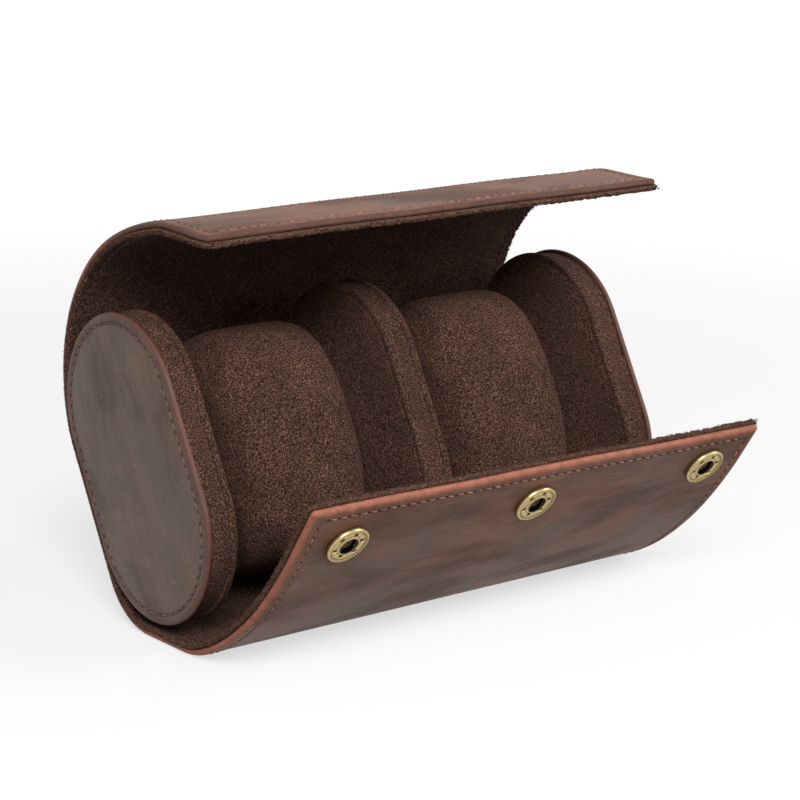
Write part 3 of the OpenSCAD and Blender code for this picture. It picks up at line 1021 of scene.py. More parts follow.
    def fibres(self, stretch: Stretch) -> Surface:
        """Loose fibres along the lining's cut edges: four-sided spikes that lean out of the edge.

        Each spike starts at a random place of the cut, and its root and tip are squares whose
        corners are the centre plus or minus a half width along the edge and into the depth.

        Args:
            stretch: the length of wrap.

        Returns:
            All the fibres as one surface.
        """
        path, rng = self.path, np.random.default_rng(SEED + int(stretch.high * 10) + 5000)
        half = path.width / 2 + self.lining_reach
        low, high = stretch.span(self.lining_reach)
        edges = [(half, 0, 1.0, 0.0), (-half, 0, -1.0, 0.0)]
        edges += [(0, high, 0.0, 1.0)] * stretch.free_high
        edges += [(0, low, 0.0, -1.0)] * stretch.free_low
        roots, outs = [], []
        for x, s, *way in edges:
            count = int((2 * half if way[1] else high - low) * self.fibres_per_mm)
            spread = rng.uniform(0, 1, count)
            across, along = (spread * 2 - 1) * (half - 1), low + spread * (high - low)
            spots = (across, 0 * along + s) if way[1] else (0 * along + x, along)
            roots.append(np.stack(spots, -1))
            outs.append(np.tile(way, (count, 1)))
        root, out = np.concatenate(roots), np.concatenate(outs)
        count, along = len(root), np.abs(out[:, ::-1])
        depth = rng.uniform(path.leather_t + path.glue_gap + 0.25, path.thickness - 0.15, count)
        long = rng.uniform(0.1, 0.42, count)
        tip = root + out * long[:, None] + along * rng.normal(0, 0.25, count)[:, None]
        tip_depth = np.minimum(depth + rng.normal(0, 0.3, count), path.thickness - 0.05)
        corner_a, corner_b = np.array([-1, 1, 1, -1]), np.array([-1, -1, 1, 1])
        rings = []
        for middle, deep, size in ((root - out * 0.35, depth, 0.085), (tip, tip_depth, 0.025)):
            flat = middle[:, None] + along[:, None] * (corner_a * size)[None, :, None]
            rings.append(np.dstack([flat, deep[:, None] + corner_b[None] * size]))
        place = np.stack(rings, 1).reshape(-1, 3)
        sides = [[0, 1, 5, 4], [1, 2, 6, 5], [2, 3, 7, 6], [3, 0, 4, 7], [3, 2, 1, 0], [4, 5, 6, 7]]
        quads = (np.array(sides)[None] + 8 * np.arange(count)[:, None, None]).reshape(-1, 4)
        flip = np.repeat((out[:, 0] > 0) | (out[:, 1] < 0), 6)
        quads[flip] = quads[flip][:, ::-1]
        values = {"flat_place": place, "rim": np.zeros(len(place)), "needle": place * 0 + FAR}
        return Surface(path.skin(*place.T), quads, values)

    def stitch_rows(self, stretch: Stretch) -> Array:
        """The stitches of a stretch, as pairs of holes.

        Args:
            stretch: the length of wrap.

        Returns:
            For each stitch its middle x, its middle station and the direction it runs in.
        """
        path, reach, half = self.path, self.path.width / 2 - self.row, self.pitch / 2
        middles = (np.arange(-60, 60) + 0.5) * self.pitch
        keep = (middles - half > -path.front_end + self.row + 0.8) & (middles >= stretch.low)
        keep &= (middles + half < path.top_end - self.row - 0.8) & (middles < stretch.high)
        side, across = middles[keep], middles[np.abs(middles) + half < reach - 0.6]
        ends = [path.top_end - self.row, path.top_end - self.cross_row] * stretch.free_high
        ends += [-path.front_end + self.row] * stretch.free_low
        rows = [(0 * side + way * reach, side, 0 * side + math.pi / 2) for way in (-1, 1)]
        rows += [(across, 0 * across + at, 0 * across) for at in ends]
        return np.concatenate([np.stack(row, -1) for row in rows])

    def stitches(self, stretch: Stretch, face: Face) -> Surface:
        """Stitches of one face, each the same capsule laid in the groove and bent with the wrap.

        Args:
            stretch: the length of wrap.
            face: the face that carries them.

        Returns:
            All the stitches as one surface.
        """
        rows, lying = self.stitch_rows(stretch), Stitch(self.pitch).template()
        outer = face is Face.OUTER
        turn = rows[:, 2] + (0.13 if outer else -0.13)
        a, b, up = lying.points.T
        x = rows[:, 0, None] + a * np.cos(turn)[:, None] - b * np.sin(turn)[:, None]
        s = rows[:, 1, None] + a * np.sin(turn)[:, None] + b * np.cos(turn)[:, None]
        depth = np.broadcast_to(0.1 - up if outer else self.path.thickness - 0.2 + up, x.shape)
        quads = lying.quads[None] + (np.arange(len(rows)) * len(lying.points))[:, None, None]
        quads = quads if outer else quads[..., ::-1]
        values = {"flat_place": np.stack([x, s, depth], -1).reshape(-1, 3)}
        return Surface(self.path.skin(x, s, depth).reshape(-1, 3), quads.reshape(-1, 4), values)

    def add(
        self, stretch: Stretch, label: str, surface: Surface, finish: str, slot: str
    ) -> Piece:
        """Makes a piece that rides on its body; a stretch between two bodies gives a piece that
        stays where it is made, unattached.

        Args:
            stretch: the length of wrap that it belongs to.
            label: the end of its name.
            surface: its surface.
            finish: the use of its material.
            slot: the record's material slot; not used.

        Returns:
            The piece.
        """
        piece = make_piece(f"{stretch.name}_{label}", surface, self.finishes[finish])
        if len(stretch.bodies) == 1:
            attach(piece, stretch.bodies[0])
        else:
            reach = stretch.bend_reach if stretch.crease > 0 else -stretch.bend_reach
            stations = np.array([stretch.crease - reach, stretch.crease + reach])
            ends = self.path.skin(np.zeros(2), stations, self.path.thickness)
            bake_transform(piece)
        return piece

    def build(self) -> list[Piece]:
        """Makes both layers, the loose fibres and the stitches of every stretch.

        Returns:
            The pieces.
        """
        path, out = self.path, self.lining_reach
        lining_top = path.leather_t + path.glue_gap
        leather = Layer(0.0, path.leather_t, 0.0, (1.5, 1.0), (0.5, 0.8), 0.16, 0.0, 0.0)
        lining = Layer(lining_top, path.lining_t, out, (0.5, 0.6), (0.9, 0.7), 0.0, 0.3, 0.42)
        pieces = []
        for stretch in self.stretches:
            for label, layer, finish, slot in (
                ("leather", leather, "hide", "brown_leather"),
                ("lining", lining, "suede", "suede"),
            ):
                surface = self.layer_surface(stretch, layer)
                piece = self.add(stretch, f"{label}_skin", surface, finish, slot)
                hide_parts(f"{stretch.name}_{label}")
                low, high = stretch.span(layer.reach)
                pieces.append(piece)
            fibres = self.fibres(stretch)
            pieces.append(self.add(stretch, "edge_fibres", fibres, "suede", "suede"))
            for face, thread in ((Face.OUTER, "thread"), (Face.LINING, "suede_thread")):
                rows, label = self.stitches(stretch, face), f"{face.value}_stitches"
                pieces.append(self.add(stretch, label, rows, thread, "brown_leather"))
        return pieces


@dataclass(frozen=True)
class Stitch:
    """One stitch: a six-sided thread that rises out of one hole and dives into the next."""

    pitch: float
    radius: float = 0.27
    rise: float = 0.36
    sides: int = 6
    rings: int = 7

    def template(self) -> Surface:
        """The stitch round its own middle.

        The centreline is a parabola over the pitch, and the thread's radius is a power of a
        parabola, so that both ends close.

        Returns:
            Points as along, across and up, in millimetres, with their quads.
        """
        t = np.sin(np.linspace(-math.pi / 2, math.pi / 2, self.rings))[:, None]
        turn = np.linspace(0, 2 * math.pi, self.sides, endpoint=False)[None]
        thick = self.radius * np.sqrt(np.clip(1.02 - t**2, 0.02, 1)) ** 0.6
        up = self.rise - 0.42 * t**2 - self.rise * 0.6 + thick * np.sin(turn)
        points = np.stack([t * (self.pitch * 0.43) + 0 * turn, thick * np.cos(turn), up], -1)
        quads = grid_faces(self.rings, self.sides, closed=True)[:, ::-1]
        caps = np.array([[0, 1, 2, 3], [3, 4, 5, 0], [3, 2, 1, 0], [0, 5, 4, 3]])
        caps[2:] += (self.rings - 1) * self.sides
        return Surface(points.reshape(-1, 3), np.concatenate([quads, caps[:, ::-1]]))


# ---- the discs ----


@dataclass(frozen=True)
class StadiumSweep:
    """Carries profiles of radius and x round the outline of a disc."""

    path: WrapPath
    columns: int = 420

    def outline(self, share: Array, radius: float) -> tuple[Array, Array]:
        """Walks round the outline at one radius: straight, half circle, straight, half circle.

        Args:
            share: shares of the whole way round.
            radius: the radius whose way round is divided evenly.

        Returns:
            The height of each point's centre and its angle from the back, in radians.
        """
        straight, arc = self.path.disc_straight, math.pi * radius
        gone = np.mod(share, 1.0) * 2 * (straight + arc)
        spans = [gone < straight, gone < straight + arc, gone < 2 * straight + arc]
        low, still = -straight / 2, 0.0 * gone
        centre = np.select(spans, [low + gone, still - low, -low - (gone - straight - arc)], low)
        last = math.pi + (gone - 2 * straight - arc) / radius
        return centre, np.select(spans, [still, (gone - straight) / radius, still + math.pi], last)

    def sweep(
        self, radius: Array, x: Array, even_at: float, rim: Array, row: float = 0.0,
        holes: int = 0, closed: bool = False,
    ) -> Surface:
        """A profile's surface: each point at its radius from the outline's moving centre.

        Args:
            radius: the profile's radii.
            x: the profile's places along the case.
            even_at: the radius at which the columns are evenly spaced.
            rim: distance from the cut edge, at each profile point.
            row: distance of the row of stitch holes from the cut edge.
            holes: number of stitch holes round the disc.
            closed: whether the profile is a loop.

        Returns:
            The surface, in the frame's metres.
        """
        share = np.arange(self.columns) / self.columns
        centre, angle = self.outline(share, even_at)
        if closed:
            radius, x, rim = (np.append(v, v[0]) for v in (radius, x, rim))
        y = radius[:, None] * np.cos(angle)[None]
        z = centre[None] + radius[:, None] * np.sin(angle)[None]
        along, rim = (np.broadcast_to(v[:, None], y.shape) for v in (x, rim))
        away = rim - (row if holes else 10 * FAR)
        values = {
            "flat_place": np.stack([z, y, along], -1).reshape(-1, 3),
            "rim": rim.ravel(),
            "needle": np.stack([share[None] * holes + 0 * y, away, 0 * y], -1).reshape(-1, 3),
        }
        quads = grid_faces(len(radius), self.columns, closed=True)
        return Surface(self.path.lean_back(along, y, z).reshape(-1, 3), quads, values)

    def stitches(self, radius: float, x: float, outwards: tuple, count: int) -> Surface:
        """A row of stitches round a disc.

        Args:
            radius: the row's radius.
            x: its place along the case.
            outwards: the way the stitches stand out, as shares of x and of radius.
            count: how many stitches.

        Returns:
            The stitches as one surface.
        """
        total = 2 * self.path.disc_straight + 2 * math.pi * radius
        lying = Stitch(total / count).template()
        a, b, up = lying.points.T
        share = ((np.arange(count) + 0.5) / count)[:, None] + (a / total)[None]
        centre, angle = self.outline(share, radius)
        out = (radius + outwards[1] * up - outwards[0] * b)[None]
        y, z = out * np.cos(angle), centre + out * np.sin(angle)
        along = np.broadcast_to(x + outwards[0] * up + outwards[1] * b, y.shape)
        quads = lying.quads[None] + (np.arange(count) * len(lying.points))[:, None, None]
        points = self.path.lean_back(along, y, z).reshape(-1, 3)
        flat = np.stack([z, y, along], -1).reshape(-1, 3)
        return Surface(points, quads.reshape(-1, 4), {"flat_place": flat})


class End(Enum):
    """The two ends of the case, as the sign of x."""

    LEFT = -1
    RIGHT = 1


@dataclass
class Discs:
    """The leather-capped end discs and the divider, each with its seam welt."""

    path: WrapPath
    finishes: dict[str, Material]
    half_length: float = 81.75
    cap_t: float = 2.4
    cap_row: float = 3.0
    cap_stitches: int = 70
    band_radius: float = 27.6
    welt_rise: float = 0.75
    welt_base: float = 27.65
    welt_width: float = 1.15
    end_inner: float = 71.15
    suede_t: float = 1.0
    glue_gap: float = 0.05
    welt_in: float = 0.95
    seam_in: float = 1.75
    seam_stitches: int = 84
    divider_x: float = -1.5
    divider_t: float = 9.4

    def cap_surface(self, sweep: StadiumSweep, side: int) -> Surface:
        """A domed cap: a raised burnished rim, the stitch groove inside it, and a low dome.

        Args:
            sweep: carries the profile round.
            side: the sign of x of its end of the case.

        Returns:
            The cap as a closed shell.
        """
        inset = np.concatenate([EDGE_STEPS[:9], [2.6, 2.8, 3.0, 3.2, 3.4, 3.8]])
        inset = np.unique(np.concatenate([inset, np.arange(4.6, 28.4, 1.1), [28.5]]))
        dome = 1 - (1 - np.clip((inset - self.cap_row) / 15, 0, 1)) ** 2
        height = 1.7 + 1.2 * dome + 0.22 * hump(inset, 1.6, 0.85)
        height -= 0.22 * hump(inset, self.cap_row, 0.4)
        height -= quarter_round(inset, 1.5, 1.0)
        under = quarter_round(inset, 0.6, float(height[0]))
        rim = np.concatenate([inset[::-1], inset[1:]])
        x = side * (self.half_length - self.cap_t + np.concatenate([height[::-1], under[1:]]))
        radius, even_at = self.path.disc_radius - rim, self.path.disc_radius - self.cap_row
        return sweep.sweep(radius, x, even_at, rim, self.cap_row, self.cap_stitches)

    def face_surface(self, sweep: StadiumSweep, outer_x: float, towards: int) -> Surface:
        """A suede face, lightly puffed by its foam, rounded over at its rim.

        Args:
            sweep: carries the profile round.
            outer_x: where the face's flat lies.
            towards: the sign of x that it looks to.

        Returns:
            The face as a closed shell.
        """
        inset = np.array([0, 0.06, 0.2, 0.45, 0.8, 1.1, 1.4, 1.8, 2.4, 3.2, 4.5])
        inset = np.concatenate([inset, np.arange(6, 27.0, 1.5), [self.band_radius]])
        puff = 0.45 * (1 - (1 - np.clip(inset / 14, 0, 1)) ** 2)
        outside = puff - (0.3 * hump(inset, 1.4, 0.4) + quarter_round(inset, 0.8, 0.5))
        inside = -self.suede_t + quarter_round(inset, 0.5, 0.5)
        radius = self.band_radius - np.concatenate([inset[::-1], inset[1:]])
        x = outer_x + towards * np.concatenate([outside[::-1], inside[1:]])
        return sweep.sweep(radius, x, self.band_radius, np.full_like(radius, FAR))

    def band_surface(self, sweep: StadiumSweep, low: float, high: float) -> Surface:
        """The suede band round a disc: a thin loop, puffed a little between its two edges.

        Args:
            sweep: carries the profile round.
            low: its lower place along the case.
            high: its higher place along the case.

        Returns:
            The band as a closed shell.
        """
        t = np.linspace(0, 1, 15)
        along, outer = low + (high - low) * t, self.band_radius - 0.2 + 0.22 * np.sin(math.pi * t)
        radius = np.concatenate([outer, (outer - self.suede_t)[::-1]])
        x = np.concatenate([along, along[::-1]])
        return sweep.sweep(radius, x, self.band_radius, np.full_like(x, FAR), closed=True)

    def welt_surface(self, sweep: StadiumSweep, middle: float) -> Surface:
        """A welt: a soft bead on the disc's rim, half an ellipse wide at its foot.

        Args:
            sweep: carries the profile round.
            middle: its middle along the case.

        Returns:
            The bead as a closed shell.
        """
        turn = np.linspace(0, math.pi, 13)
        bead, foot = self.welt_base - 0.1 + self.welt_rise * np.sin(turn), self.welt_width * 0.8
        radius = np.append(bead, [self.welt_base - 0.5] * 2)
        x = middle + np.append(self.welt_width * np.cos(turn), [-foot, foot])
        return sweep.sweep(radius, x, self.band_radius, np.full_like(x, FAR), closed=True)

    def add(self, name: str, surface: Surface, finish: str, slot: str, *nodes: str) -> Piece:
        """Makes one piece of a disc that rides on the case.

        Args:
            name: the piece's name.
            surface: its surface.
            finish: the use of its material.
            slot: the record's material slot; not used.
            nodes: the CAD nodes that it stands for.

        Returns:
            The piece.
        """
        piece = make_piece(name, surface, self.finishes[finish], weld=2e-6)
        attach(piece, "case")
        if nodes:
            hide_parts(*nodes)
        return piece

    def add_seam(self, sweep: StadiumSweep, name: str, at: float, towards: int) -> list[Piece]:
        """Makes a welt beside a suede face, and the fine row of stitches in the band by it.

        Args:
            sweep: carries them round.
            name: first part of their names.
            at: where the face lies along the case.
            towards: the sign of x that the face looks to.

        Returns:
            The two pieces.
        """
        welt_at = at - towards * self.welt_in
        welt = self.welt_surface(sweep, welt_at)
        radius, seam_at = self.band_radius - 0.2, welt_at - towards * self.seam_in
        rows = sweep.stitches(radius, seam_at, (0.0, 1.0), self.seam_stitches)
        return [
            self.add(f"{name}_seam_welt", welt, "suede", "suede", f"{name}_welt"),
            self.add(f"{name}_seam_stitches", rows, "suede_thread", "suede"),
        ]

    def build(self) -> list[Piece]:
        """Makes both end discs and the divider.

        Returns:
            The pieces.
        """
        sweep, inner = StadiumSweep(self.path), self.suede_t + self.glue_gap
        row, cap_foot = self.path.disc_radius - self.cap_row, self.half_length - self.cap_t
        made = []
        for end in End:
            side, name = end.value, end.name.lower()
            at = side * self.end_inner
            span = sorted(side * v for v in (self.end_inner + inner, cap_foot - self.glue_gap))
            cap, face = self.cap_surface(sweep, side), self.face_surface(sweep, at, -side)
            rows = sweep.stitches(row, side * (cap_foot + 1.6), (side, 0.0), self.cap_stitches)
            band = self.band_surface(sweep, *span)
            made += [
                self.add(f"{name}_domed_cap", cap, "cap_hide", "brown_leather", f"{name}_cap"),
                self.add(f"{name}_cap_stitches", rows, "cap_thread", "brown_leather"),
                self.add(f"{name}_suede_face", face, "suede", "suede", f"{name}_inner_face"),
                self.add(f"{name}_suede_band", band, "suede", "suede", f"{name}_band"),
                *self.add_seam(sweep, name, at, -side),
            ]
        low, high = (self.divider_x + k * self.divider_t / 2 for k in (-1, 1))
        band = self.band_surface(sweep, low + inner, high - inner)
        made.append(self.add("divider_suede_band", band, "suede", "suede", "divider_band"))
        for name, at, towards in (("divider_left", low, -1), ("divider_right", high, 1)):
            face = self.face_surface(sweep, at, towards)
            made.append(self.add(f"{name}_suede_face", face, "suede", "suede", f"{name}_face"))
            made += self.add_seam(sweep, name, at, towards)
        return made


# ---- the pillows ----


def read_points(mesh: bpy.types.Mesh) -> Array:
    """A mesh's points, one row each."""
    points = np.empty(len(mesh.vertices) * 3, np.float32)
    mesh.vertices.foreach_get("co", points)
    return points.astype(float).reshape(-1, 3)


def worked_out(piece: Piece) -> bpy.types.Mesh:
    """A new mesh of a piece as its modifiers leave it."""
    now = bpy.context.evaluated_depsgraph_get()
    return bpy.data.meshes.new_from_object(piece.evaluated_get(now))


@dataclass
class Pillow:
    """A lift-out pillow: a soft-cornered box in suede, swelled by a short cloth simulation."""

    path: WrapPath
    finishes: dict[str, Material]
    name: str
    middle_x: float
    width: float = 42.0
    height: float = 70.0
    depth: float = 52.9
    middle_y: float = 1.95
    section_power: float = 2 / 2.7
    end_power: float = 0.4
    start_inset: float = 0.4
    swell: float = 1.6
    least_full: float = 0.992
    most_full: float = 1.04
    seam_in: float = 3.2
    voxel: float = 0.0042
    pressure: float = 4.0
    frames: int = 20

    def form(self, inset: float, rings: int = 29, points: int = 48) -> Surface:
        """A soft-cornered box: sines and cosines of turn and rise, to the powers of its section.

        Args:
            inset: how far the form lies inside its full size.
            rings: rings between the two ends.
            points: points of each ring.

        Returns:
            The form round its own middle, in millimetres, closed at its ends by welding.
        """
        rise = np.linspace(-math.pi / 2, math.pi / 2, rings + 2)[:, None]
        turn = np.linspace(0, 2 * math.pi, points, endpoint=False)[None]
        waist = np.clip(np.cos(rise), 0, None) ** self.end_power

        def bulge(value: Array, power: float) -> Array:
            """A value's size to a power, with its sign."""
            return np.sign(value) * np.abs(value) ** power

        y = bulge(np.cos(turn), self.section_power) * waist * (self.depth / 2 - inset)
        z = bulge(np.sin(turn), self.section_power) * waist * (self.height / 2 - inset)
        x = bulge(np.sin(rise), self.end_power) * (self.width / 2 - inset) + 0 * turn
        quads = grid_faces(rings + 2, points, closed=True)
        return Surface(np.stack([x, y, z], -1).reshape(-1, 3), quads)

    def swollen(self) -> Surface:
        """The form after a voxel remesh and twenty frames of cloth under pressure.

        Returns:
            Points round the pillow's own middle, in millimetres, with quads.
        """
        start, scene = self.form(self.start_inset), bpy.context.scene
        small = Surface(start.points * MM, start.quads)
        rest = make_piece(f"{self.name}_rest", small, self.finishes["suede"], weld=1e-6)
        remesh = rest.modifiers.new("even_mesh", "REMESH")
        remesh.mode, remesh.voxel_size = "VOXEL", self.voxel
        even = worked_out(rest)
        bpy.data.objects.remove(rest)
        body = put(f"{self.name}_cloth", even)
        bpy.context.view_layer.objects.active = body
        cloth = body.modifiers.new("stuffing", "CLOTH")
        cloth.settings.use_pressure = True
        cloth.settings.uniform_pressure_force = self.pressure
        cloth.settings.effector_weights.gravity = 0.0
        cloth.settings.quality = 6
        cloth.point_cache.frame_start, cloth.point_cache.frame_end = 1, self.frames
        for tick in range(1, self.frames + 1):
            scene.frame_set(tick)
        blown, before = worked_out(body), read_points(even)
        move = read_points(blown) - before
        far = np.linalg.norm(move, axis=1, keepdims=True)
        capped = before + move * np.minimum(1, self.swell * MM / np.maximum(far, 1e-9))
        blown.vertices.foreach_set("co", capped.astype(np.float32).ravel())
        bpy.data.objects.remove(body)
        scene.frame_set(1)
        fine = put(f"{self.name}_fine", blown)
        smooth = fine.modifiers.new("smooth", "SUBSURF")
        smooth.levels = smooth.render_levels = 2
        done = worked_out(fine)
        bpy.data.objects.remove(fine)
        corners = np.empty(len(done.loops), np.int32)
        done.loops.foreach_get("vertex_index", corners)
        points = read_points(done)
        bpy.data.meshes.remove(done)
        return Surface(points / MM, corners.reshape(-1, 4))

    def kept_full(self, points: Array) -> Array:
        """Points moved straight out until they clear the foam, and held flat against the back.

        A point's fullness is the root of its powers: the section's sum of powers of y and z over
        their half sizes, raised and added to x's. It is 1 on the pillow's full form.

        Args:
            points: points round the pillow's own middle, in millimetres.

        Returns:
            The points with a fullness from just under 1 to the most that it swells to.
        """
        section, end = 2 / self.section_power, 2 / self.end_power
        x, y, z = (np.abs(points) / (np.array([self.width, self.depth, self.height]) / 2)).T
        across = (y**section + z**section) ** (self.section_power / 2)
        full = np.maximum((x**end + across**end) ** (self.end_power / 2), 0.05)
        points = points * (np.clip(full, self.least_full, self.most_full) / full)[:, None]
        points[:, 1] = np.minimum(points[:, 1], self.depth / 2)
        return points

    def build(self) -> Piece:
        """Makes the pillow, with a seam round each end.

        The seam is a bell-shaped dent of the surface, where x is a fixed distance from an end.

        Returns:
            The pillow's cover.
        """
        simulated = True
        surface = self.swollen() if simulated else self.form(0.2, 57, 96)
        points = self.kept_full(surface.points)
        round_it = np.arctan2(points[:, 2], points[:, 1])
        wander = 0.35 * np.sin(5 * round_it) + 0.2 * np.sin(11 * round_it + 1)
        off_seam = np.abs(points[:, 0]) - (self.width / 2 - self.seam_in + wander)
        dent = 0.45 * hump(off_seam, 0, 0.9)
        shrink = 1 - dent / np.maximum(np.hypot(points[:, 1], points[:, 2]), 8)
        far_out = np.hypot(points[:, 1] / self.depth, points[:, 2] / self.height) > 0.36
        points[:, 1:] *= np.where(far_out, shrink, 1)[:, None]
        x, y, z = points.T
        values = {
            "flat_place": points,
            "rim": np.full(len(points), FAR),
            "needle": np.full((len(points), 3), FAR),
        }
        placed = self.path.lean_back(x + self.middle_x, y + self.middle_y, z)
        whole, weld = Surface(placed, surface.quads, values), 0 if simulated else 2e-6
        piece = make_piece(f"{self.name}_pillow_case", whole, self.finishes["suede"], weld)
        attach(piece, f"{self.name}_pillow")
        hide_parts(f"{self.name}_pillow_cover")
        return piece


# ---- the snaps ----


@dataclass
class Snaps:
    """Three brass sockets on the front flap and three studs under the top flap."""

    path: WrapPath
    finishes: dict[str, Material]
    socket_height: float = 1.6
    bore: float = 2.6
    stud_radius: float = 1.45
    stud_height: float = 1.3
    flange: float = 3.8
    ridges: int = 48
    marks: int = 6
    mark_turn: float = 0.783
    turns: int = 240
    stud_turns: int = 96
    seat: float = 0.05

    def turned(self, profile: Array, turns: int) -> tuple[Array, Array, Array]:
        """Radius, height and angle of a profile carried round the axis."""
        turn = np.linspace(0, 2 * math.pi, turns, endpoint=False)[None]
        return profile[:, :1] + 0 * turn, profile[:, 1:] + 0 * turn, turn

    def socket(self) -> Surface:
        """A socket: rolled rim, knurled ring, stamped marks, raised inner ring and its hole.

        The knurl is a cosine of the angle, and each mark is a dent that is a square in angle
        and radius.

        Returns:
            All three sockets.
        """
        profile = np.array(
            [
                [1.1, 0.0], [3.5, 0.0], [5.7, 0.0], [6.05, 0.05], [6.2, 0.25], [6.25, 0.6],
                [6.24, 0.95], [6.18, 1.2], [6.05, 1.42], [5.88, 1.54], [5.7, self.socket_height],
                [5.52, 1.56], [5.4, 1.45], [5.32, 1.32], [5.2, 1.3], [5.0, 1.3], [4.8, 1.3],
                [4.68, 1.27], [4.55, 1.25], [4.4, 1.25], [4.25, 1.25], [4.1, 1.25], [3.95, 1.25],
                [3.8, 1.25], [3.65, 1.22], [3.5, 1.2], [3.4, 1.22], [3.28, 1.34], [3.12, 1.46],
                [2.95, 1.5], [2.78, 1.46], [2.66, 1.36], [self.bore, 1.2], [self.bore, 0.8],
                [self.bore, 0.4], [2.2, 0.35], [1.1, 0.35],
            ]
        )
        radius, height, turn = self.turned(profile, self.turns)
        knurl = soft_step(radius, 4.75, 4.9) * (1 - soft_step(radius, 5.55, 5.7))
        up, wave = height > 1.1, np.cos(self.ridges * turn)
        height = height + 0.08 * up * knurl * wave
        share = np.mod(turn / (2 * math.pi) * self.marks + self.mark_turn, 1) - 0.5
        beside = np.abs(share) * 2 * math.pi / self.marks * radius
        mark = (beside < 0.6) * (np.abs(radius - 4.15) < 0.52) * up
        height = height - 0.3 * mark
        # The recess darkens the stamped marks, the groove by the inner ring and the knurl's valleys
        # as tarnish and painted shade, and paints shade down the bore and a shadow at the foot of
        # the rim.
        recess = mark
        for tarnished in (
            0.6 * hump(radius, 3.5, 0.16) * up,
            knurl * up * (0.5 - 0.5 * wave),
            (radius < self.bore + 0.2) * (height < 1.48),
            0.6 * (height < 0.5) * (radius > 6),
        ):
            recess = np.maximum(recess, tarnished)
        local = np.stack([radius * np.cos(turn), radius * np.sin(turn), height], -1)
        quads = grid_faces(len(profile), self.turns, closed=True)
        closing = grid_faces(2, self.turns, closed=True)
        last = (len(profile) - 1) * self.turns
        closing = np.where(closing < self.turns, closing + last, closing - self.turns)
        return self.three(local, np.concatenate([quads, closing]), recess, inwards=False)

    def stud(self) -> Surface:
        """A stud: a flat flange, a neck and a round head.

        Returns:
            All three studs.
        """
        head, high = self.stud_radius, self.stud_height
        profile = np.array(
            [
                [0, -0.02], [1.4, -0.02], [3.6, -0.02], [3.75, 0.04], [self.flange, 0.15],
                [3.7, 0.28], [3.5, 0.35], [2.6, 0.33], [1.7, 0.35], [1.4, 0.4], [head - 0.2, 0.5],
                [head - 0.2, 0.62], [head - 0.1, 0.72], [head, 0.86], [head - 0.02, 1.0],
                [head - 0.12, 1.12], [head - 0.3, 1.22], [head - 0.6, high], [0, high],
            ]
        )
        radius, height, turn = self.turned(profile, self.stud_turns)
        local = np.stack([radius * np.cos(turn), radius * np.sin(turn), height], -1)
        quads = grid_faces(len(profile), self.stud_turns, closed=True)
        # tarnish and painted shade round the neck under the head
        return self.three(local, quads, 0.5 * hump(height, 0.5, 0.15), inwards=True)

    def three(self, local: Array, quads: Array, recess: Array, inwards: bool) -> Surface:
        """Three copies of a turned shape, seated on the wrap.

        Args:
            local: its points as along the case, along the wrap and out of the face.
            quads: its quads.
            recess: where tarnish and painted shade darken it.
            inwards: whether it stands on the lining, out towards the inside of the case.

        Returns:
            The three copies as one surface.
        """
        path, local = self.path, local.reshape(-1, 3)
        station = path.stud_station if inwards else path.socket_station
        depth, sign = (path.thickness + self.seat, -1.0) if inwards else (-self.seat, 1.0)
        y, z, h = (v[0] for v in path.place(np.array([station])))
        out, along = np.array([math.cos(h), math.sin(h)]), np.array([-math.sin(h), math.cos(h)])
        flat = np.array([y, z]) - depth * out + local[:, 1:2] * along + sign * local[:, 2:3] * out
        points = [
            path.lean_back(local[:, 0] + k * path.snap_pitch, flat[:, 0], flat[:, 1])
            for k in (-1, 0, 1)
        ]
        shift = (np.arange(3) * len(local))[:, None, None]
        values = {"flat_place": np.tile(local, (3, 1)), "recess": np.tile(recess.ravel(), 3)}
        return Surface(np.concatenate(points), (quads[None] + shift).reshape(-1, 4), values)

    def build(self) -> list[Piece]:
        """Makes the sockets and the studs.

        Returns:
            The two pieces.
        """
        made = []
        for name, surface, body, node in (
            ("brass_sockets", self.socket(), "front_flap_edge", "sockets"),
            ("brass_studs", self.stud(), "top_flap_edge", "studs"),
        ):
            piece = make_piece(name, surface, self.finishes["brass"], weld=1e-6, crisp=35)
            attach(piece, body)
            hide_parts(node)
            made.append(piece)
        return made


# ---- what stays of the CAD model ----


def dress_cad_nodes(finishes: dict[str, Material]) -> int:
    """Gives the fillings, boards and small metal parts of the CAD model their finish.

    Args:
        finishes: the materials.

    Returns:
        How many nodes were dressed.
    """
    slots = {row["node"]: row["material_slot"] for row in frame["record"]["subparts"]}
    for name, node in frame["nodes"].items():
        use = "hide" if slots[name] == "brown_leather" else slots[name]
        for row in node.material_slots:
            row.material = finishes[use]
        if not node.material_slots:
            node.data.materials.append(finishes[use])
    return len(frame["nodes"])


# ---- the studio ----


@dataclass(frozen=True)
class Lamp:
    """A square soft lamp: its place, its width in metres and its power in watts."""

    place: tuple[float, float, float]
    width: float
    power: float


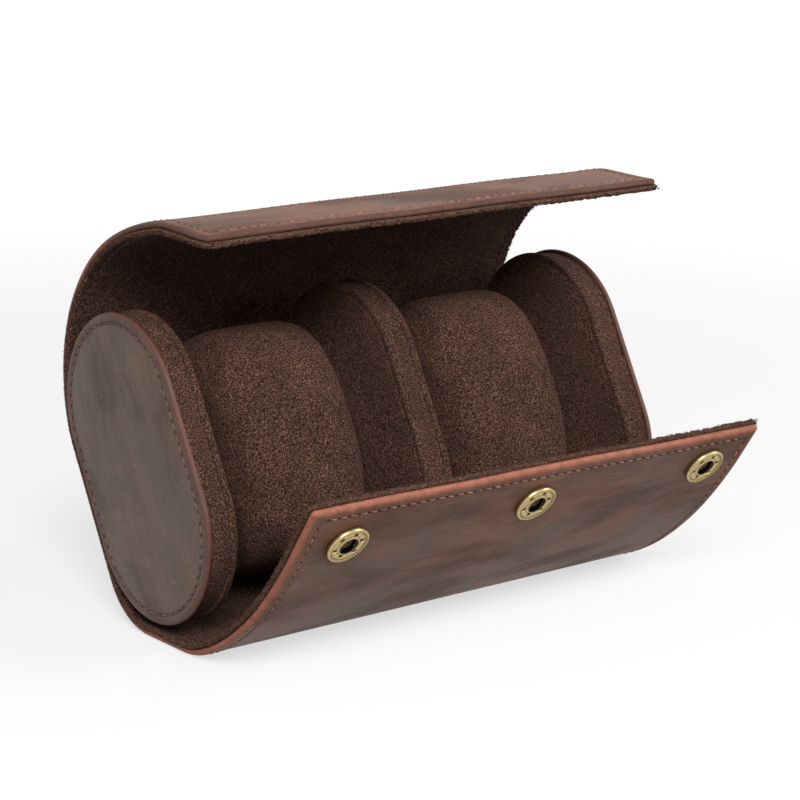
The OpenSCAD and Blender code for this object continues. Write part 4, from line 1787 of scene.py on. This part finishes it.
@dataclass(frozen=True)
class Studio:
    """A white floor and world, soft lamps, and the camera of the photograph."""

    camera_at: tuple[float, float, float] = (-0.4424, -0.57275, 0.2311)
    camera_turn: tuple[float, float, float] = (76.53, 0.0, -37.86)
    lens: float = 115.65
    sensor: float = 36.0
    floor_half: float = 3.0
    floor_z: float = -0.0002
    floor_base: float = 0.4
    floor_bounce: float = 0.22
    world_level: float = 0.16
    aim_at: tuple[float, float, float] = (0, 0, 0.05)
    lamps: tuple[Lamp, ...] = (
        Lamp((-0.75, -1.05, 0.95), 0.6, 21.0),
        Lamp((0.9, -0.8, 0.7), 0.9, 8.4),
    )

    @staticmethod
    def viewed(sketch: Sketch) -> Socket:
        """Whether a ray comes from the camera, a reflection or a transmission."""
        seen = sketch.node("LightPath").outputs
        either = sketch.sums("MAXIMUM", seen["Is Camera Ray"], seen["Is Glossy Ray"])
        return sketch.sums("MAXIMUM", either, seen["Is Transmission Ray"])

    def floor(self) -> None:
        """A white floor that shows white to the camera and keeps the object's shadow."""
        half, z = self.floor_half, self.floor_z
        points = np.array([[-half, -half, z], [half, -half, z], [half, half, z], [-half, half, z]])
        material, sketch, shader = new_material("white_floor")
        base = (*[self.floor_base] * 3, 1)
        sketch.feed(shader, {"Base Color": base, "Roughness": 1.0, "Specular IOR Level": 0.0})
        place = sketch.node("TexCoord").outputs["Object"]
        away = sketch.node("VectorMath", {0: place}, operation="LENGTH").outputs[1]
        glow = sketch.node("Emission", {"Strength": sketch.ramp(away, 0.25, 1.1, 0.65, 1.0)})
        both = sketch.node("AddShader", {0: shader.outputs[0], 1: glow.outputs[0]})
        dim = sketch.node("BsdfDiffuse", {"Color": (*[self.floor_bounce] * 3, 1)})
        feeds = {0: self.viewed(sketch), 1: dim.outputs[0], 2: both.outputs[0]}
        choice = sketch.node("MixShader", feeds).outputs[0]
        sketch.feed(sketch.tree.nodes["Material Output"], {"Surface": choice})
        make_piece("floor", Surface(points, np.array([[0, 1, 2, 3]])), material)

    def world(self) -> None:
        """A world that lights softly and shows white to the camera and in reflections."""
        world = bpy.context.scene.world = bpy.data.worlds.new("white_room")
        world.use_nodes = True
        sketch = Sketch(world.node_tree)
        level = sketch.ramp(self.viewed(sketch), 0, 1, self.world_level, 1.0)
        back = world.node_tree.nodes["Background"]
        sketch.feed(back, {"Color": (1, 1, 1, 1), "Strength": level})

    def build(self) -> None:
        """Sets up the view, the floor, the world, the lamps and the camera."""
        bpy.context.scene.view_settings.view_transform = "Standard"
        self.floor()
        self.world()
        for number, lamp in enumerate(self.lamps):
            light = bpy.data.lights.new(f"soft_lamp_{number}", "AREA")
            light.shape, light.size, light.energy = "SQUARE", lamp.width, lamp.power
            holder = put(light.name, light)
            holder.location = lamp.place
            aim = Vector(self.aim_at) - Vector(lamp.place)
            holder.rotation_euler = aim.to_track_quat("-Z", "Y").to_euler()
        data = bpy.data.cameras.new("photo_camera")
        data.lens, data.sensor_width = self.lens, self.sensor
        camera = bpy.context.scene.camera = put("photo_camera", data)
        camera.location = self.camera_at
        camera.rotation_euler = Euler([math.radians(v) for v in self.camera_turn])


def main() -> None:
    """Builds the case piece by piece, in the CAD model's frame."""
    logging.basicConfig(level=logging.INFO, format="%(message)s")
    Studio().build()
    finishes, path = make_finishes(), WrapPath()
    LOG.info("dressed %d CAD nodes", dress_cad_nodes(finishes))
    LOG.info("wrap: %d pieces", len(Wrap(path, finishes).build()))
    LOG.info("discs: %d pieces", len(Discs(path, finishes).build()))
    LOG.info("snaps: %d pieces", len(Snaps(path, finishes).build()))
    for name, middle in (("left", -38.675), ("right", 37.175)):
        LOG.info("pillow: %s", Pillow(path, finishes, name, middle).build().name)


if __name__ == "__main__":
    main()
